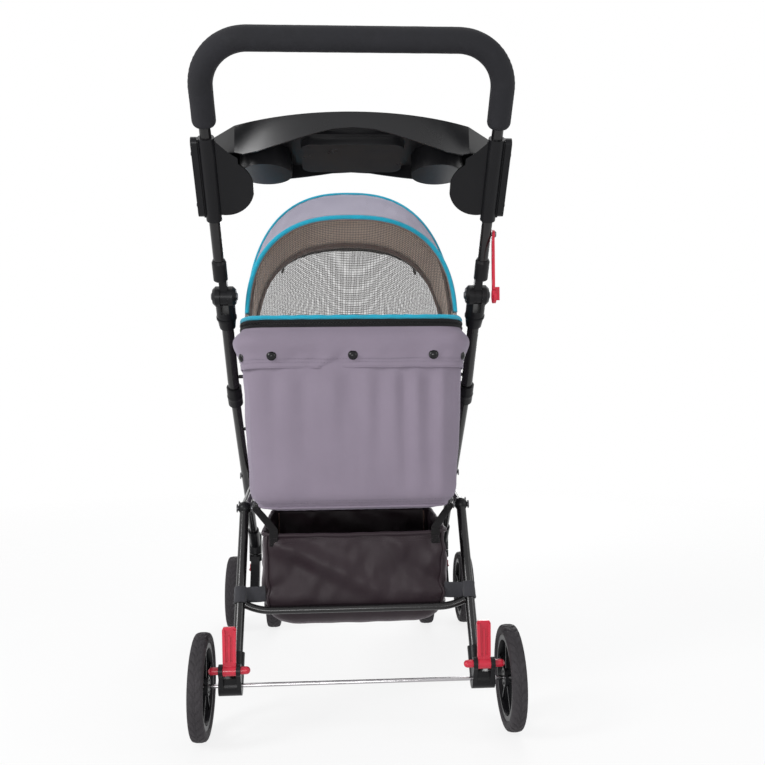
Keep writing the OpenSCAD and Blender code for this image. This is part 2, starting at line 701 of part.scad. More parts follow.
rear_axle_end = rear_wheel_x + rear_hub_len / 2 + slide_gap;
module rear_axle() color([0.8, 0.8, 0.82]) place() translate(rear_axle_p)
    cross_rod(-rear_axle_end, rear_axle_end, axle_r);

module axle_caps() color([0.1, 0.1, 0.11]) place()
    for (side = [-1, 1]) mirror([side < 0 ? 1 : 0, 0, 0])
    translate(rear_axle_p + [rear_axle_end, 0, 0]) rotate([0, 90, 0]) {
        cylinder(h = 1.2, r = 6);
        translate([0, 0, 1.2]) cylinder(h = 1.2, r1 = 6, r2 = 3.5);
    }

// A rocking pedal: a cross bar in the bracket's ears and a ribbed lever standing up from it
module brake_pedal(side) color([0.82, 0.13, 0.22]) place()
    mirror([side < 0 ? 1 : 0, 0, 0]) translate(pedal_p) {
    lever_x = (bracket_x[0] + bracket_x[1]) / 2;
    lever_w = bracket_x[1] - bracket_x[0] - 12 - 2 * side_play;
    cross_rod(bracket_x[0] - 8, bracket_x[1] + 9, pedal_bar_r);
    for (x = [bracket_x[0] - 8, bracket_x[1] + 9]) translate([x, 0, 0]) sphere(r = pedal_bar_r);
    translate([lever_x, 0, 0]) {
        cross_rod(-lever_w / 2, lever_w / 2, 7.5);
        translate([-lever_w / 2, -3.5, 0]) cube([lever_w, 7, 14]);
        translate([0, 1.5, 12]) rotate([90, 0, 0]) linear_extrude(4)
            polygon([[-lever_w / 2, 0], [lever_w / 2, 0], [10, 46], [8, 50], [-8, 50], [-10, 46]]);
        for (x = [-1, 1]) translate([0, 1.5, 12]) rotate([90, 0, 0]) linear_extrude(7)
            polygon([[x * 5, 0], [x * (lever_w / 2), 0], [x * 9.5, 45], [x * 6, 47]]);
        translate([0, 1.5, 24]) rotate([90, 0, 0]) linear_extrude(5.5) square([2.4, 52], center = true);
    }
}
module brake_pedal_left() brake_pedal(-1);
module brake_pedal_right() brake_pedal(1);

// ---------------------------------------------------------------- wheels

// A moulded rim: a ring, a hub with its bore, and tapering ribbed spokes
module rim_wheel(d, w, hub, hub_len) rotate([0, 90, 0]) difference() {
    ring_r = d / 2 - tyre_depth;
    union() {
        rotate_extrude($fn = 96) polygon([
            [ring_r - rim_depth, -w / 2 + 1], [ring_r, -w / 2 + 1], [ring_r, w / 2 - 1],
            [ring_r - rim_depth, w / 2 - 1], [ring_r - rim_depth - 1.5, 2], [ring_r - rim_depth - 1.5, -2]
        ]);
        cylinder(h = hub_len, r = hub, center = true);
        for (i = [0:spoke_count - 1]) rotate(360 * (i + 0.5) / spoke_count) {
            spoke_len = ring_r - rim_depth - hub + 3;
            translate([hub - 2, -spoke_w / 2, -spoke_t / 2]) cube([spoke_len, spoke_w, spoke_t]);
            translate([hub - 2, -1.2, -w / 2 + 3]) cube([spoke_len - 0.5, 2.4, w - 6]);
        }
    }
    cylinder(h = hub_len + 2, r = axle_r + run_fit, center = true);
    for (end = [-1, 1]) translate([0, 0, end * hub_len / 2])
        rotate_extrude() translate([(hub + axle_r) / 2 + 1, 0]) circle(r = 1.6);
}

// A solid tyre with rounded shoulders and two grooves round the tread
module tyre_ring(d, w) rotate([0, 90, 0]) rotate_extrude($fn = 96) difference() {
    translate([d / 2 - tyre_depth / 2, 0]) rounded_rect(tyre_depth, w, 5.5);
    for (side = [-1, 1]) translate([d / 2, side * w / 6]) square([2 * tread_depth, 1.6], center = true);
    translate([d / 2 - tyre_depth - 1, 0]) square([2 + 2 * seat_gap, w + 2], center = true);
}

module rear_rim(side) color([0.1, 0.1, 0.11]) place()
    translate(rear_axle_p + [side * rear_wheel_x, 0, 0])
        rim_wheel(rear_wheel_d, rear_tyre_w - 3, hub_r, rear_hub_len);
module rear_tyre(side) color([0.23, 0.21, 0.22]) place()
    translate(rear_axle_p + [side * rear_wheel_x, 0, 0]) tyre_ring(rear_wheel_d, rear_tyre_w);
module rear_rim_left() rear_rim(-1);
module rear_tyre_left() rear_tyre(-1);
module rear_rim_right() rear_rim(1);
module rear_tyre_right() rear_tyre(1);

module front_hub_frame(side, out)
    translate([side * frame_x + out * twin_pitch / 2, wheelbase, front_axle_z]) children();
module front_rim(side, out) color([0.1, 0.1, 0.11]) place()
    front_hub_frame(side, out) rim_wheel(front_wheel_d, front_tyre_w - 4, front_hub_r, front_hub_len);
module front_tyre(side, out) color([0.23, 0.21, 0.22]) place()
    front_hub_frame(side, out) tyre_ring(front_wheel_d, front_tyre_w);
module front_rim_left_outer() front_rim(-1, -1);
module front_tyre_left_outer() front_tyre(-1, -1);
module front_rim_left_inner() front_rim(-1, 1);
module front_tyre_left_inner() front_tyre(-1, 1);
module front_rim_right_inner() front_rim(1, -1);
module front_tyre_right_inner() front_tyre(1, -1);
module front_rim_right_outer() front_rim(1, 1);
module front_tyre_right_outer() front_tyre(1, 1);

// ---------------------------------------------------------------- casters

fork_w = 18;
caster_top_z = front_wheel_d;
caster_r = 13;
lock_z = caster_top_z - 22;
module caster(side) color([0.1, 0.1, 0.11]) place() translate([side * frame_x, 0, 0]) difference() {
    union() {
        translate([0, stem_y, caster_top_z - 14]) cylinder(h = 14, r = caster_r);
        translate([0, stem_y, caster_top_z - 8]) cylinder(h = 8 + socket_h - 6, r = stem_r);
        translate([-fork_w / 2, 0, 0]) rotate([90, 0, 90]) linear_extrude(fork_w) {
            translate([wheelbase, front_axle_z]) circle(r = caster_r);
            polygon([
                [wheelbase - 12.4, front_axle_z + 4], [stem_y - caster_r, caster_top_z - 18],
                [stem_y - caster_r, caster_top_z - 4], [stem_y + caster_r, caster_top_z - 4],
                [stem_y + caster_r, caster_top_z - 22], [wheelbase + 9.5, front_axle_z - 8.8]
            ]);
        }
    }
    translate([0, wheelbase, front_axle_z]) cross_rod(-20, 20, axle_r + seat_gap);
    translate([side * fork_w / 2 - 2.4, stem_y - 3.4, lock_z - 14]) cube([4.8, 6.8, 22]);
}
module caster_left() caster(-1);
module caster_right() caster(1);

module front_axle(side) color([0.75, 0.75, 0.77]) place()
    translate([side * frame_x, wheelbase, front_axle_z]) {
    half = twin_pitch / 2 + front_hub_len / 2;
    cross_rod(-half - 0.4, half + 0.4, axle_r);
    for (end = [-1, 1]) translate([end * (half + 0.4), 0, 0]) rotate([0, end * 90, 0])
        cylinder(h = 1.4, r1 = 5, r2 = 3.5);
    for (end = [-1, 1]) translate([end * (fork_w / 2 + (twin_pitch - front_hub_len - fork_w) / 4), 0, 0]) {
        spacer = (twin_pitch - front_hub_len - fork_w) / 2 - 2 * slide_gap;
        cross_rod(-spacer / 2, spacer / 2, 6);
    }
}
module front_axle_left() front_axle(-1);
module front_axle_right() front_axle(1);

// A slider in a groove of the caster's outer cheek: pushed up, it pins the swivel
module swivel_lock(side) color([0.78, 0.12, 0.2]) place()
    translate([side * frame_x, 0, 0]) mirror([side < 0 ? 1 : 0, 0, 0]) {
    translate([fork_w / 2 - 2, stem_y - 3, lock_z - 12]) cube([2.5, 6, 12]);
    translate([fork_w / 2 + slide_gap, stem_y - 6.5, lock_z - 13]) cube([2.4, 13, 14]);
    translate([fork_w / 2 + slide_gap, stem_y - 5, lock_z - 12]) cube([4.2, 10, 3]);
}
module swivel_lock_left() swivel_lock(-1);
module swivel_lock_right() swivel_lock(1);

// ---------------------------------------------------------------- cabin

module cabin_tub() color([0.54, 0.51, 0.57]) place() {
    rounding = [
        for (a = [0, 22.5, 45, 67.5, 90]) [bottom_round * (1 - cos(a)), -bottom_round * (1 - sin(a))]
    ];
    outer = [for (r = rounding) skin_loop(r.x, r.y)];
    inner_round = bottom_round - wall_t;
    inner = [
        for (a = [90, 60, 30, 0])
            skin_loop(floor_t + inner_round * (1 - cos(a)), -wall_t - inner_round * (1 - sin(a)))
    ];
    loft(concat(outer, [skin_loop(cabin_h, 0), skin_loop(cabin_h, -wall_t)], inner));
}

// A hoop of stiff tape round the cabin's mouth
module cabin_rim() color([0.1, 0.1, 0.11]) place()
    loft([
        skin_loop(cabin_h, cloth_gap, -rim_h), skin_loop(cabin_h, cloth_gap + rim_t, -rim_h),
        skin_loop(cabin_h, cloth_gap + rim_t, 0), skin_loop(cabin_h, cloth_gap, 0)
    ], capped = false);

piping_out = 0.5;
module rim_piping() color([0.2, 0.63, 0.74]) place() {
    path = skin_loop(cabin_h, piping_out, piping_d / 2 + slide_gap);
    sweep(path, ring(piping_d / 2), [0, 0, 1], closed = true);
}

// The flap's height below the rim and how far it stands off the cabin, from top to hem
flap_rows = [[rim_h + 2, 0], [30, 6], [55, 5], [73, 3]];
flap_t = 1.8;
function flap_angles() = [for (i = [0:24]) 184 + (356 - 184) * i / 24];
function flap_grid(off) = [
    for (j = [len(flap_rows) - 1:-1:0])
        [for (t = flap_angles()) skin(cabin_h - flap_rows[j][0], t, cloth_gap + flap_rows[j][1] + off)]
];
module rear_flap() color([0.5, 0.47, 0.53]) place() cloth(flap_grid(flap_t), flap_grid(0));

snap_h = cabin_h - flap_rows[2][0];
snap_d = 15;
snap_angles = [193, 263.2, 270, 276.8, 347];
module flap_snaps() color([0.1, 0.1, 0.11]) place() for (t = snap_angles) {
    along_skin = skin(snap_h, t + 1, 0) - skin(snap_h, t - 1, 0);
    out = 2 * cloth_gap + flap_rows[2][1] + flap_t;
    translate(skin(snap_h, t, out)) rotate([90, 0, atan2(along_skin.y, along_skin.x)]) {
        cylinder(h = 1.2, d = snap_d);
        translate([0, 0, 1.2]) cylinder(h = 1, d1 = snap_d - 2, d2 = snap_d - 6);
    }
}

board_t = 4;
cushion_t = 22;
module floor_plan(inset)
    rounded_rect(2 * (floor_half_w - bottom_round - inset), cabin_len - 2 * (bottom_round + 2 * inset), 28);
module floor_board() color([0.35, 0.33, 0.32]) place()
    translate([0, cabin_mid_y, cabin_floor_z + floor_t + seat_gap]) linear_extrude(board_t) floor_plan(4);

module cushion() color([0.6, 0.57, 0.62]) place()
    translate([0, cabin_mid_y, cabin_floor_z + floor_t + board_t + 2 * seat_gap])
        linear_extrude(cushion_t) floor_plan(6);

// Screws with cap washers that hold the cabin's sides to the side tubes and the front legs
fastener_side = [112, 160];
fastener_leg = [90, 200];
module cabin_fasteners() color([0.12, 0.12, 0.13]) place() for (side = [-1, 1]) {
    for (s = fastener_side) fastener(side, hinge_p - s * up_dir, side_tube_d / 2);
    for (s = fastener_leg) fastener(side, sleeve_p + s * leg_dir, leg_tube_d / 2);
}
// The angle round the plan where the skin passes a given y on the positive side
function skin_angle(y) =
    asin(powered(max(-0.999, min(0.999, 2 * (y - cabin_mid_y) / cabin_len)), plan_n / 2));
function skin_x(p) =
    skin((p.z - cabin_floor_z) * cabin_h / (rim_height(p.y) - cabin_floor_z), skin_angle(p.y), 0).x;
module fastener(side, p, tube_r) {
    inner = skin_x(p) + cloth_gap;
    outer = frame_x - tube_r - slide_gap;
    translate([side > 0 ? 0 : -inner - outer, p.y, p.z]) cross_rod(inner, outer, 3);
}

// ---------------------------------------------------------------- canopy

function mixed(a, b, f) = a + (b - a) * f;
function canopy_grid(off) = concat(
    [for (f = [0, 0.5]) [for (t = arch_angles()) mixed(rear_arch(t, off), peak_hoop(t, off), f)]],
    [for (f = [0, 0.5, 1]) [for (t = arch_angles()) mixed(peak_hoop(t, off), front_hoop(t, off), f)]]
);
module canopy() color([0.7, 0.67, 0.73]) place() cloth(canopy_grid(0), canopy_grid(-canopy_t));

piping_start = 2.5;
module arch_piping() color([0.2, 0.63, 0.74]) place()
    sweep(
        [for (t = arch_angles()) let (q = max(piping_start, min(180 - piping_start, t)))
            rear_arch(q, -piping_d / 2) - [0, piping_d / 2 + cloth_gap, 0]],
        ring(piping_d / 2), [0, 1, 0]
    );

module canopy_hoops() color([0.3, 0.27, 0.26]) place() {
    inside = -canopy_t - 2 - cloth_gap;
    sweep([for (t = arch_angles()) peak_hoop(t, inside - cloth_gap)], ring(2, 6), [0, 1, 0]);
    sweep([for (t = arch_angles()) front_hoop(t, inside) - [0, 5, 0]], ring(2, 6), [0, 1, 0]);
}

mesh_t = 1.2;
mesh_steps = 5;
foot_inset = 4.3;
foot_start = 3;
// A mesh panel's foot on the rim, from the hoop's foot at hoop_y round the cabin's end
function mesh_foot(t, hoop_y, way, n, off) =
    let (
        w = hoop_w(hoop_y) + hoop_inset - foot_inset + off,
        reach = cabin_len / 2 + way * (cabin_mid_y - hoop_y) - foot_inset + off,
        r = pow(pow(abs(cos(t)) / w, n) + pow(sin(t) / reach, n), -1 / n),
        y = hoop_y + way * r * sin(t)
    )
    [-r * cos(t), y, rim_height(y) + cloth_gap];
function mesh_angles() = [for (i = [0:arch_steps]) foot_start + (180 - 2 * foot_start) * i / arch_steps];

// The mesh rear window, from the rim's back edge up to the inside of the arch's piping
rear_foot_n = 3.5;
function rear_head(t, off) = rear_arch(t, off - piping_d - cloth_gap) - [0, piping_d / 2 + cloth_gap, 0];
function rear_grid(off) = [
    for (j = [0:mesh_steps]) [for (t = mesh_angles()) let (
        foot = mesh_foot(t, rear_arch_y[0] - piping_d, -1, rear_foot_n, off)
    ) mixed(foot, rear_head(t, off), j / mesh_steps)]
];
module rear_mesh() color([0.75, 0.78, 0.76, 0.6]) place() cloth(rear_grid(0), rear_grid(-mesh_t));

// The zipped front door of mesh, from the front hoop down to the cabin's front rim
front_foot_n = 16;
function door_head(t, off) = front_hoop(t, off) + [0, cloth_gap, 0];
function door_grid(off) = [
    for (j = [0:mesh_steps]) [for (t = mesh_angles())
        mixed(mesh_foot(t, front_hoop_y[0], 1, front_foot_n, off), door_head(t, off), j / mesh_steps)]
];
module front_door() color([0.72, 0.76, 0.74, 0.6]) place() cloth(door_grid(0), door_grid(-mesh_t));

// ---------------------------------------------------------------- basket

basket_floor_z = 171;
basket_sag = 40;
basket_wall = 2.5;
basket_n = 16;
basket_half_w = leg_x - basket_side_gap;
function basket_point(t, inset, z) =
    let (p = plan(basket_half_w - inset, basket_len / 2 - inset, t, basket_n, 0))
    [p.x, basket_rear_y + basket_len / 2 + p.y, z];
function basket_loop(inset, z) = [for (i = [0:31]) basket_point(360 * (i + 0.5) / 32, inset, z)];
module basket() color([0.2, 0.17, 0.19]) place() {
    loft([
        basket_loop(82, basket_floor_z - basket_sag), basket_loop(48, basket_floor_z - basket_sag * 0.9),
        basket_loop(14, basket_floor_z - basket_sag * 0.45), basket_loop(0, basket_floor_z + 6),
        basket_loop(0, basket_top_z),
        basket_loop(basket_wall, basket_top_z), basket_loop(basket_wall, basket_floor_z + 6),
        basket_loop(14 + basket_wall, basket_floor_z - basket_sag * 0.45 + basket_wall),
        basket_loop(48, basket_floor_z - basket_sag * 0.9 + basket_wall),
        basket_loop(82, basket_floor_z - basket_sag + basket_wall)
    ]);
}

strap_w = 13;
strap_t = 1.4;
// How far the basket's end has curved in at x
function basket_curve(x) = basket_len / 2 * (1 - pow(1 - pow(x / basket_half_w, basket_n), 1 / basket_n));
module basket_straps() color([0.08, 0.08, 0.09]) place() for (side = [-1, 1]) {
    off = cloth_gap + strap_t / 2;
    hook_x = leg_x - leg_pin_reach - leg_pin_head - seat_gap - strap_w / 2;
    back_x = 123;
    back = basket_rear_y - off + basket_curve(back_x - strap_w / 2);
    sweep([
        [side * back_x, back, basket_top_z - 16],
        [side * back_x, back, basket_top_z + 2],
        [side * (back_x + 1), back + 3, basket_top_z + 8],
        [side * hook_x, leg_hinge_y - 12, leg_hinge_z - 1],
        [side * hook_x, leg_hinge_y + 4, leg_hinge_z + 1]
    ], strip(strap_w, strap_t), [0, 1, 1]);
    front_x = 112;
    front = basket_rear_y + basket_len + off - basket_curve(front_x - strap_w / 2);
    under_z = cabin_floor_z - strap_t / 2 - cloth_gap;
    sweep([
        [side * front_x, front, basket_top_z - 16], [side * front_x, front, basket_top_z + 3],
        [side * front_x, front + 8, under_z - 2], [side * front_x, front + 30, under_z]
    ], strip(strap_w, strap_t), [0, 0.8, -0.6]);
}

band_h = 24;
band_z = 186;
module basket_bands() color([0.24, 0.24, 0.26]) place()
    for (side = [-1, 1]) mirror([side < 0 ? 1 : 0, 0, 0]) difference() {
    union() {
        translate([leg_x, rear_leg_y(band_z), band_z]) along([0, 0, 0], rear_leg_dir)
            cylinder(h = band_h, d = rear_leg_d + 4, center = true);
        translate([basket_half_w + cloth_gap, basket_rear_y + 5, band_z - band_h / 2])
            cube([leg_x - basket_half_w - 4, strap_t, band_h]);
    }
    translate([leg_x, 0, 0]) rod(rear_axle_p, leg_hinge_p, rear_leg_d + 2 * seat_gap);
}

// ---------------------------------------------------------------- nodes

handle_tube();
foam_grip();
hinge_tongues();
parent_tray();
tray_clamps();
handle_screws();
fold_catch();
side_tubes();
hinge_forks();
frame_pins();
lock_collar_left();
lock_collar_right();
leg_sleeves();
front_legs();
front_cross_tube();
caster_sockets();
seat_rails();
leg_hinge_forks();
rear_legs();
rear_cross_tube();
axle_brackets();
rear_axle();
axle_caps();
brake_pedal_left();
brake_pedal_right();
rear_rim_left();
rear_tyre_left();
rear_rim_right();
rear_tyre_right();
caster_left();
caster_right();
front_axle_left();
front_axle_right();
swivel_lock_left();
swivel_lock_right();
front_rim_left_outer();
front_tyre_left_outer();
front_rim_left_inner();
front_tyre_left_inner();
front_rim_right_inner();
front_tyre_right_inner();
front_rim_right_outer();
front_tyre_right_outer();
cabin_tub();
cabin_rim();
rim_piping();
rear_flap();
flap_snaps();
floor_board();
cushion();
cabin_fasteners();
canopy();
arch_piping();
canopy_hoops();
rear_mesh();
front_door();
basket();
basket_straps();
basket_bands();
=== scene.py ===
import json
import math

import bpy
import numpy as np
from mathutils import Matrix, Vector, noise


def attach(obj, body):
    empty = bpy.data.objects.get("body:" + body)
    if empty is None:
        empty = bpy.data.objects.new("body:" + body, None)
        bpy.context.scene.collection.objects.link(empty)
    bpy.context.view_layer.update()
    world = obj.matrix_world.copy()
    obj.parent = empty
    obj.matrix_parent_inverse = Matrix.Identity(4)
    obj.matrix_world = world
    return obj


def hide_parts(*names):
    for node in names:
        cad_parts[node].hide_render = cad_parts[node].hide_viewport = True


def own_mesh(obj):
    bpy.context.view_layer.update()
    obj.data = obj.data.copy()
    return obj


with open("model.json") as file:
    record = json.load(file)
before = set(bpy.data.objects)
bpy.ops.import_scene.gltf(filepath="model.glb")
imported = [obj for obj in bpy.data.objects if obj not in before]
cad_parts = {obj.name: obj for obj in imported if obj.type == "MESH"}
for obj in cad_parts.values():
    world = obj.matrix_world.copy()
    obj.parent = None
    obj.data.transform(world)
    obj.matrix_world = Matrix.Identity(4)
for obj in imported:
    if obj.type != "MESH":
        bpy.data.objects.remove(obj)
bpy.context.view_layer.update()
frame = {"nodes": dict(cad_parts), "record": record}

# ------------------------------------------------------------------ the frame's own numbers, in millimetres
# X is the pusher's right, Y runs forward from the rear axle and Z up; MID is the rear axle's place in the row frame.

MID = 240.84
RIM_Z, RIM_TILT, FLOOR_Z, REAR_Y, LENGTH = 603.0, math.tan(math.radians(6)), 307.0, 80.0, 500.0
HALF_W, FLOOR_HALF_W = 174.0, 165.0
MID_Y = REAR_Y + LENGTH / 2
CABIN_H = RIM_Z - FLOOR_Z
HINGE = np.array([0, 111.0, 642.0])
UP = np.array([0, -math.cos(math.radians(51)), math.sin(math.radians(51))])
HANDLE_X = 200.5
LEG_HINGE = np.array([0, 148.0, 307.0])
LEG_X = 174.0
LEG_DIR = np.array([0, 148.0, 232.0]) / math.hypot(148, 232)
REAR_R, FRONT_R = 75.0, 72.5
REAR_WHEEL_X, CASTER_X, TWIN_X, WHEELBASE = 222.5, 197.5, 40.5, 562
UPRIGHT = np.array([0, 0, 1.0])
SIDES = ((-1, "left"), (1, "right"))

bpy.context.scene.view_settings.view_transform = "Standard"


def metres(p):
    return (np.asarray(p, float) - np.array([0, MID, 0])) / 1000


def link(name, data):
    o = bpy.data.objects.new(name, data)
    bpy.context.collection.objects.link(o)
    return o


def arc(path):
    """How far along its path each point lies."""
    return np.concatenate([[0], np.cumsum(np.linalg.norm(np.diff(path, axis=0), axis=1))])


def turn(count):
    """Angles that divide a full turn."""
    return np.linspace(0, 2 * math.pi, count, endpoint=False)


# ------------------------------------------------------------------ camera, light and floor

# The photo's view: the camera's place in metres, its turns in degrees, and its lens and sensor
CAMERA_AT = (-0.0303, -1.4968, 0.5145)
CAMERA_TURNS = ((-3.23, "Z"), (90 - 0.365, "X"), (-0.62, "Z"))
LENS, SENSOR = 41.03, 36


def camera():
    cam = link("camera", bpy.data.cameras.new("camera"))
    cam.data.lens = LENS
    cam.data.sensor_width = SENSOR
    yaw, pitch, roll = (Matrix.Rotation(math.radians(q), 4, axis) for q, axis in CAMERA_TURNS)
    cam.matrix_world = Matrix.Translation(CAMERA_AT) @ yaw @ pitch @ roll
    bpy.context.scene.camera = cam


def lamp(name, at, aim, size, power):
    light = bpy.data.lights.new(name, "AREA")
    light.shape = "RECTANGLE"
    light.size, light.size_y = size
    light.energy = power
    o = link(name, light)
    o.location = at
    o.rotation_euler = (Vector(aim) - Vector(at)).to_track_quat("-Z", "Y").to_euler()


class Tree:
    """A node tree whose nodes are added by short calls; each call returns an output socket."""

    def __init__(self, tree):
        self.t = tree

    def node(self, kind, **values):
        n = self.t.nodes.new("ShaderNode" + kind)
        for key, value in values.items():
            setattr(n, key, value)
        return n

    def put(self, socket, value):
        if isinstance(value, bpy.types.NodeSocket):
            self.t.links.new(value, socket)
        else:
            socket.default_value = value

    def coord(self, kind="Object"):
        return self.node("TexCoord").outputs[kind]

    def math(self, op, a, b=0.0, c=0.0):
        n = self.node("Math", operation=op)
        for i, v in enumerate((a, b, c)):
            self.put(n.inputs[i], v)
        return n.outputs[0]

    def noise(self, scale, detail=2.0, rough=0.5, vector=None, stretch=None):
        n = self.node("TexNoise")
        vector = vector or self.coord()
        if stretch:
            s = self.node("Mapping")
            s.inputs["Scale"].default_value = stretch
            self.put(s.inputs["Vector"], vector)
            vector = s.outputs[0]
        self.put(n.inputs["Vector"], vector)
        n.inputs["Scale"].default_value = scale
        n.inputs["Detail"].default_value = detail
        n.inputs["Roughness"].default_value = rough
        return n.outputs[0]

    def cells(self, scale, vector):
        n = self.node("TexVoronoi")
        self.put(n.inputs["Vector"], vector)
        n.inputs["Scale"].default_value = scale
        return n.outputs["Distance"]

    def spread(self, value, low, high, to_low=0.0, to_high=1.0):
        n = self.node("MapRange")
        for i, v in enumerate((value, low, high, to_low, to_high)):
            self.put(n.inputs[i], v)
        return n.outputs[0]

    def mix(self, factor, a, b):
        """Mixes two colours, or two shaders where a is a shader's socket."""
        shaders = isinstance(a, bpy.types.NodeSocketShader)
        n = self.node("MixShader") if shaders else self.node("Mix", data_type="RGBA")
        self.put(n.inputs[0], factor)
        for i, v in zip((1, 2) if shaders else (6, 7), (a, b)):
            self.put(n.inputs[i], v if isinstance(v, bpy.types.NodeSocket) else (*v, 1))
        return n.outputs[0 if shaders else 2]

    def axes(self, vector):
        n = self.node("SeparateXYZ")
        self.put(n.inputs[0], vector)
        return n.outputs

    def wave(self, value, pitch):
        return self.math("SINE", self.math("MULTIPLY", value, 2 * math.pi / pitch))

    def seen(self):
        """1 where a pixel sees this straight, in a reflection or through glass; 0 for its light on the object."""
        rays = self.node("LightPath").outputs
        mirrored = self.math("MAXIMUM", rays["Is Glossy Ray"], rays["Is Transmission Ray"])
        return self.math("MAXIMUM", rays["Is Camera Ray"], mirrored)


class Mat(Tree):
    """A material round one Principled BSDF."""

    def __init__(self, name, colour, rough, **sockets):
        self.m = bpy.data.materials.new(name)
        self.m.use_nodes = True
        super().__init__(self.m.node_tree)
        self.bsdf = self.t.nodes["Principled BSDF"]
        self.bsdf.inputs["Base Color"].default_value = (*colour, 1)
        self.bsdf.inputs["Roughness"].default_value = rough
        for key, value in sockets.items():
            self.bsdf.inputs[key.replace("_", " ")].default_value = value

    def surface(self, socket):
        self.put(self.t.nodes["Material Output"].inputs["Surface"], socket)

    def colour(self, socket):
        self.put(self.bsdf.inputs["Base Color"], socket)

    def rough(self, value, low, high):
        """Roughness between low and high by a noise's value."""
        self.put(self.bsdf.inputs["Roughness"], self.spread(value, 0.3, 0.7, low, high))

    def clouded(self, value, colour, low, high):
        """The colour made between low and high times as light by a noise's value."""
        return self.mix(self.spread(value, 0.3, 0.7), shade(colour, low), shade(colour, high))

    def edges(self):
        """1 on sharp edges, which wear lighter."""
        return self.spread(self.node("NewGeometry").outputs["Pointiness"], 0.52, 0.60)

    def bump(self, *layers):
        """Each layer is (height, distance in metres, strength)."""
        before = None
        for height, distance, strength in layers:
            n = self.node("Bump")
            n.inputs["Strength"].default_value = strength
            n.inputs["Distance"].default_value = distance
            self.put(n.inputs["Height"], height)
            if before:
                self.put(n.inputs["Normal"], before)
            before = n.outputs[0]
        self.put(self.bsdf.inputs["Normal"], before)


def srgb(r, g, b):
    return tuple((c / 255 / 12.92) if c <= 10 else ((c / 255 + 0.055) / 1.055) ** 2.4 for c in (r, g, b))


def shade(c, f):
    return tuple(min(1, v * f) for v in c)


# ------------------------------------------------------------------ materials

def fabric(name, colour, pitch=0.0013, rough=0.86, sheen=0.25, tint=None, cloudy=0.05, spec=0.3, sewn=True):
    """Plain-woven cloth; on sewn pieces the weave follows the UV map, elsewhere the object's X and Y."""
    m = Mat(name, colour, rough, Sheen_Weight=sheen, Sheen_Roughness=0.45, Specular_IOR_Level=spec)
    if tint:
        m.bsdf.inputs["Sheen Tint"].default_value = (*tint, 1)
    at = m.coord()
    across, along, _ = m.axes(m.coord("UV") if sewn else at)
    weave = m.math("MULTIPLY", m.math("ADD", m.wave(across, pitch), m.wave(along, pitch)), 0.5)
    threads = m.noise(700, 3, 0.65, at)
    clouds = m.noise(7, 3, 0.55, at)
    base = m.clouded(clouds, colour, 1 - cloudy, 1 + cloudy)
    base = m.mix(m.spread(threads, 0.35, 0.65, 0, 0.06), base, shade(colour, 1.5))
    base = m.mix(m.spread(weave, -1, 1, 0.13, 0.0), base, shade(colour, 0.35))
    m.colour(base)
    m.rough(m.noise(35, 2, 0.5, at), rough - 0.07, rough + 0.05)
    m.bump((m.noise(45, 3, 0.55, at), 0.0008, 0.22), (weave, 0.0001, 0.5), (threads, 0.0001, 0.3))
    return m.m


def ribbed(name, colour, along, rough, sheen, slant=0.0, light=1.6):
    """Tape or binding: ribs across its length, counted in the UV map's metres, with a slant for twill."""
    m = Mat(name, colour, rough, Sheen_Weight=sheen, Specular_IOR_Level=0.15)
    u, v, _ = m.axes(m.coord("UV"))
    rib = m.wave(m.math("MULTIPLY_ADD", v, slant, u), along)
    weft = m.wave(v, along * 0.8)
    blotch = m.noise(30, 3, 0.6)
    base = m.clouded(blotch, colour, 0.86, 1.12)
    base = m.mix(m.spread(rib, -1, 1, 0.32, 0.0), base, shade(colour, 0.45))
    base = m.mix(m.spread(m.noise(900, 2, 0.6), 0.55, 0.8, 0, 0.25), base, shade(colour, light))
    m.colour(base)
    m.rough(blotch, rough - 0.08, rough + 0.08)
    m.bump((rib, 0.0003, 0.6), (weft, 0.00012, 0.35), (m.noise(300, 2, 0.5), 0.0002, 0.3))
    return m.m


def net(name, colour, pitch, thread):
    """Mesh cloth: square holes between threads, counted in the UV map's metres."""
    m = Mat(name, colour, 0.75, Sheen_Weight=0.15)
    masks = []
    for way in m.axes(m.coord("UV"))[:2]:
        place = m.math("FRACT", m.math("MULTIPLY", way, 1 / pitch))
        masks.append(m.math("ABSOLUTE", m.math("SUBTRACT", place, 0.5)))
    nearest = m.math("MAXIMUM", *masks)
    solid = m.spread(nearest, 0.5 - thread / 2 - 0.03, 0.5 - thread / 2 + 0.03)
    m.colour(m.clouded(m.noise(120, 3, 0.6), colour, 0.7, 1.25))
    m.bump((nearest, 0.0004, 0.6))
    m.surface(m.mix(solid, m.node("BsdfTransparent").outputs[0], m.bsdf.outputs[0]))
    return m.m


def plastic(name, colour, rough, grain=1400, depth=0.00008, coat=0.0, worn=1.5, spec=0.25):
    m = Mat(name, colour, rough, Coat_Weight=coat, Coat_Roughness=0.15, Specular_IOR_Level=spec)
    at = m.coord()
    fine = m.noise(grain, 2, 0.5, at)
    clouds = m.noise(18, 4, 0.6, at)
    base = m.clouded(clouds, colour, 0.9, 1.1)
    base = m.mix(m.math("MULTIPLY", m.edges(), 0.25), base, shade(colour, worn))
    m.colour(base)
    m.rough(clouds, rough - 0.04, rough + 0.06)
    m.bump((m.noise(90, 2, 0.5, at), 0.0002, 0.12), (fine, depth, 0.5))
    return m.m


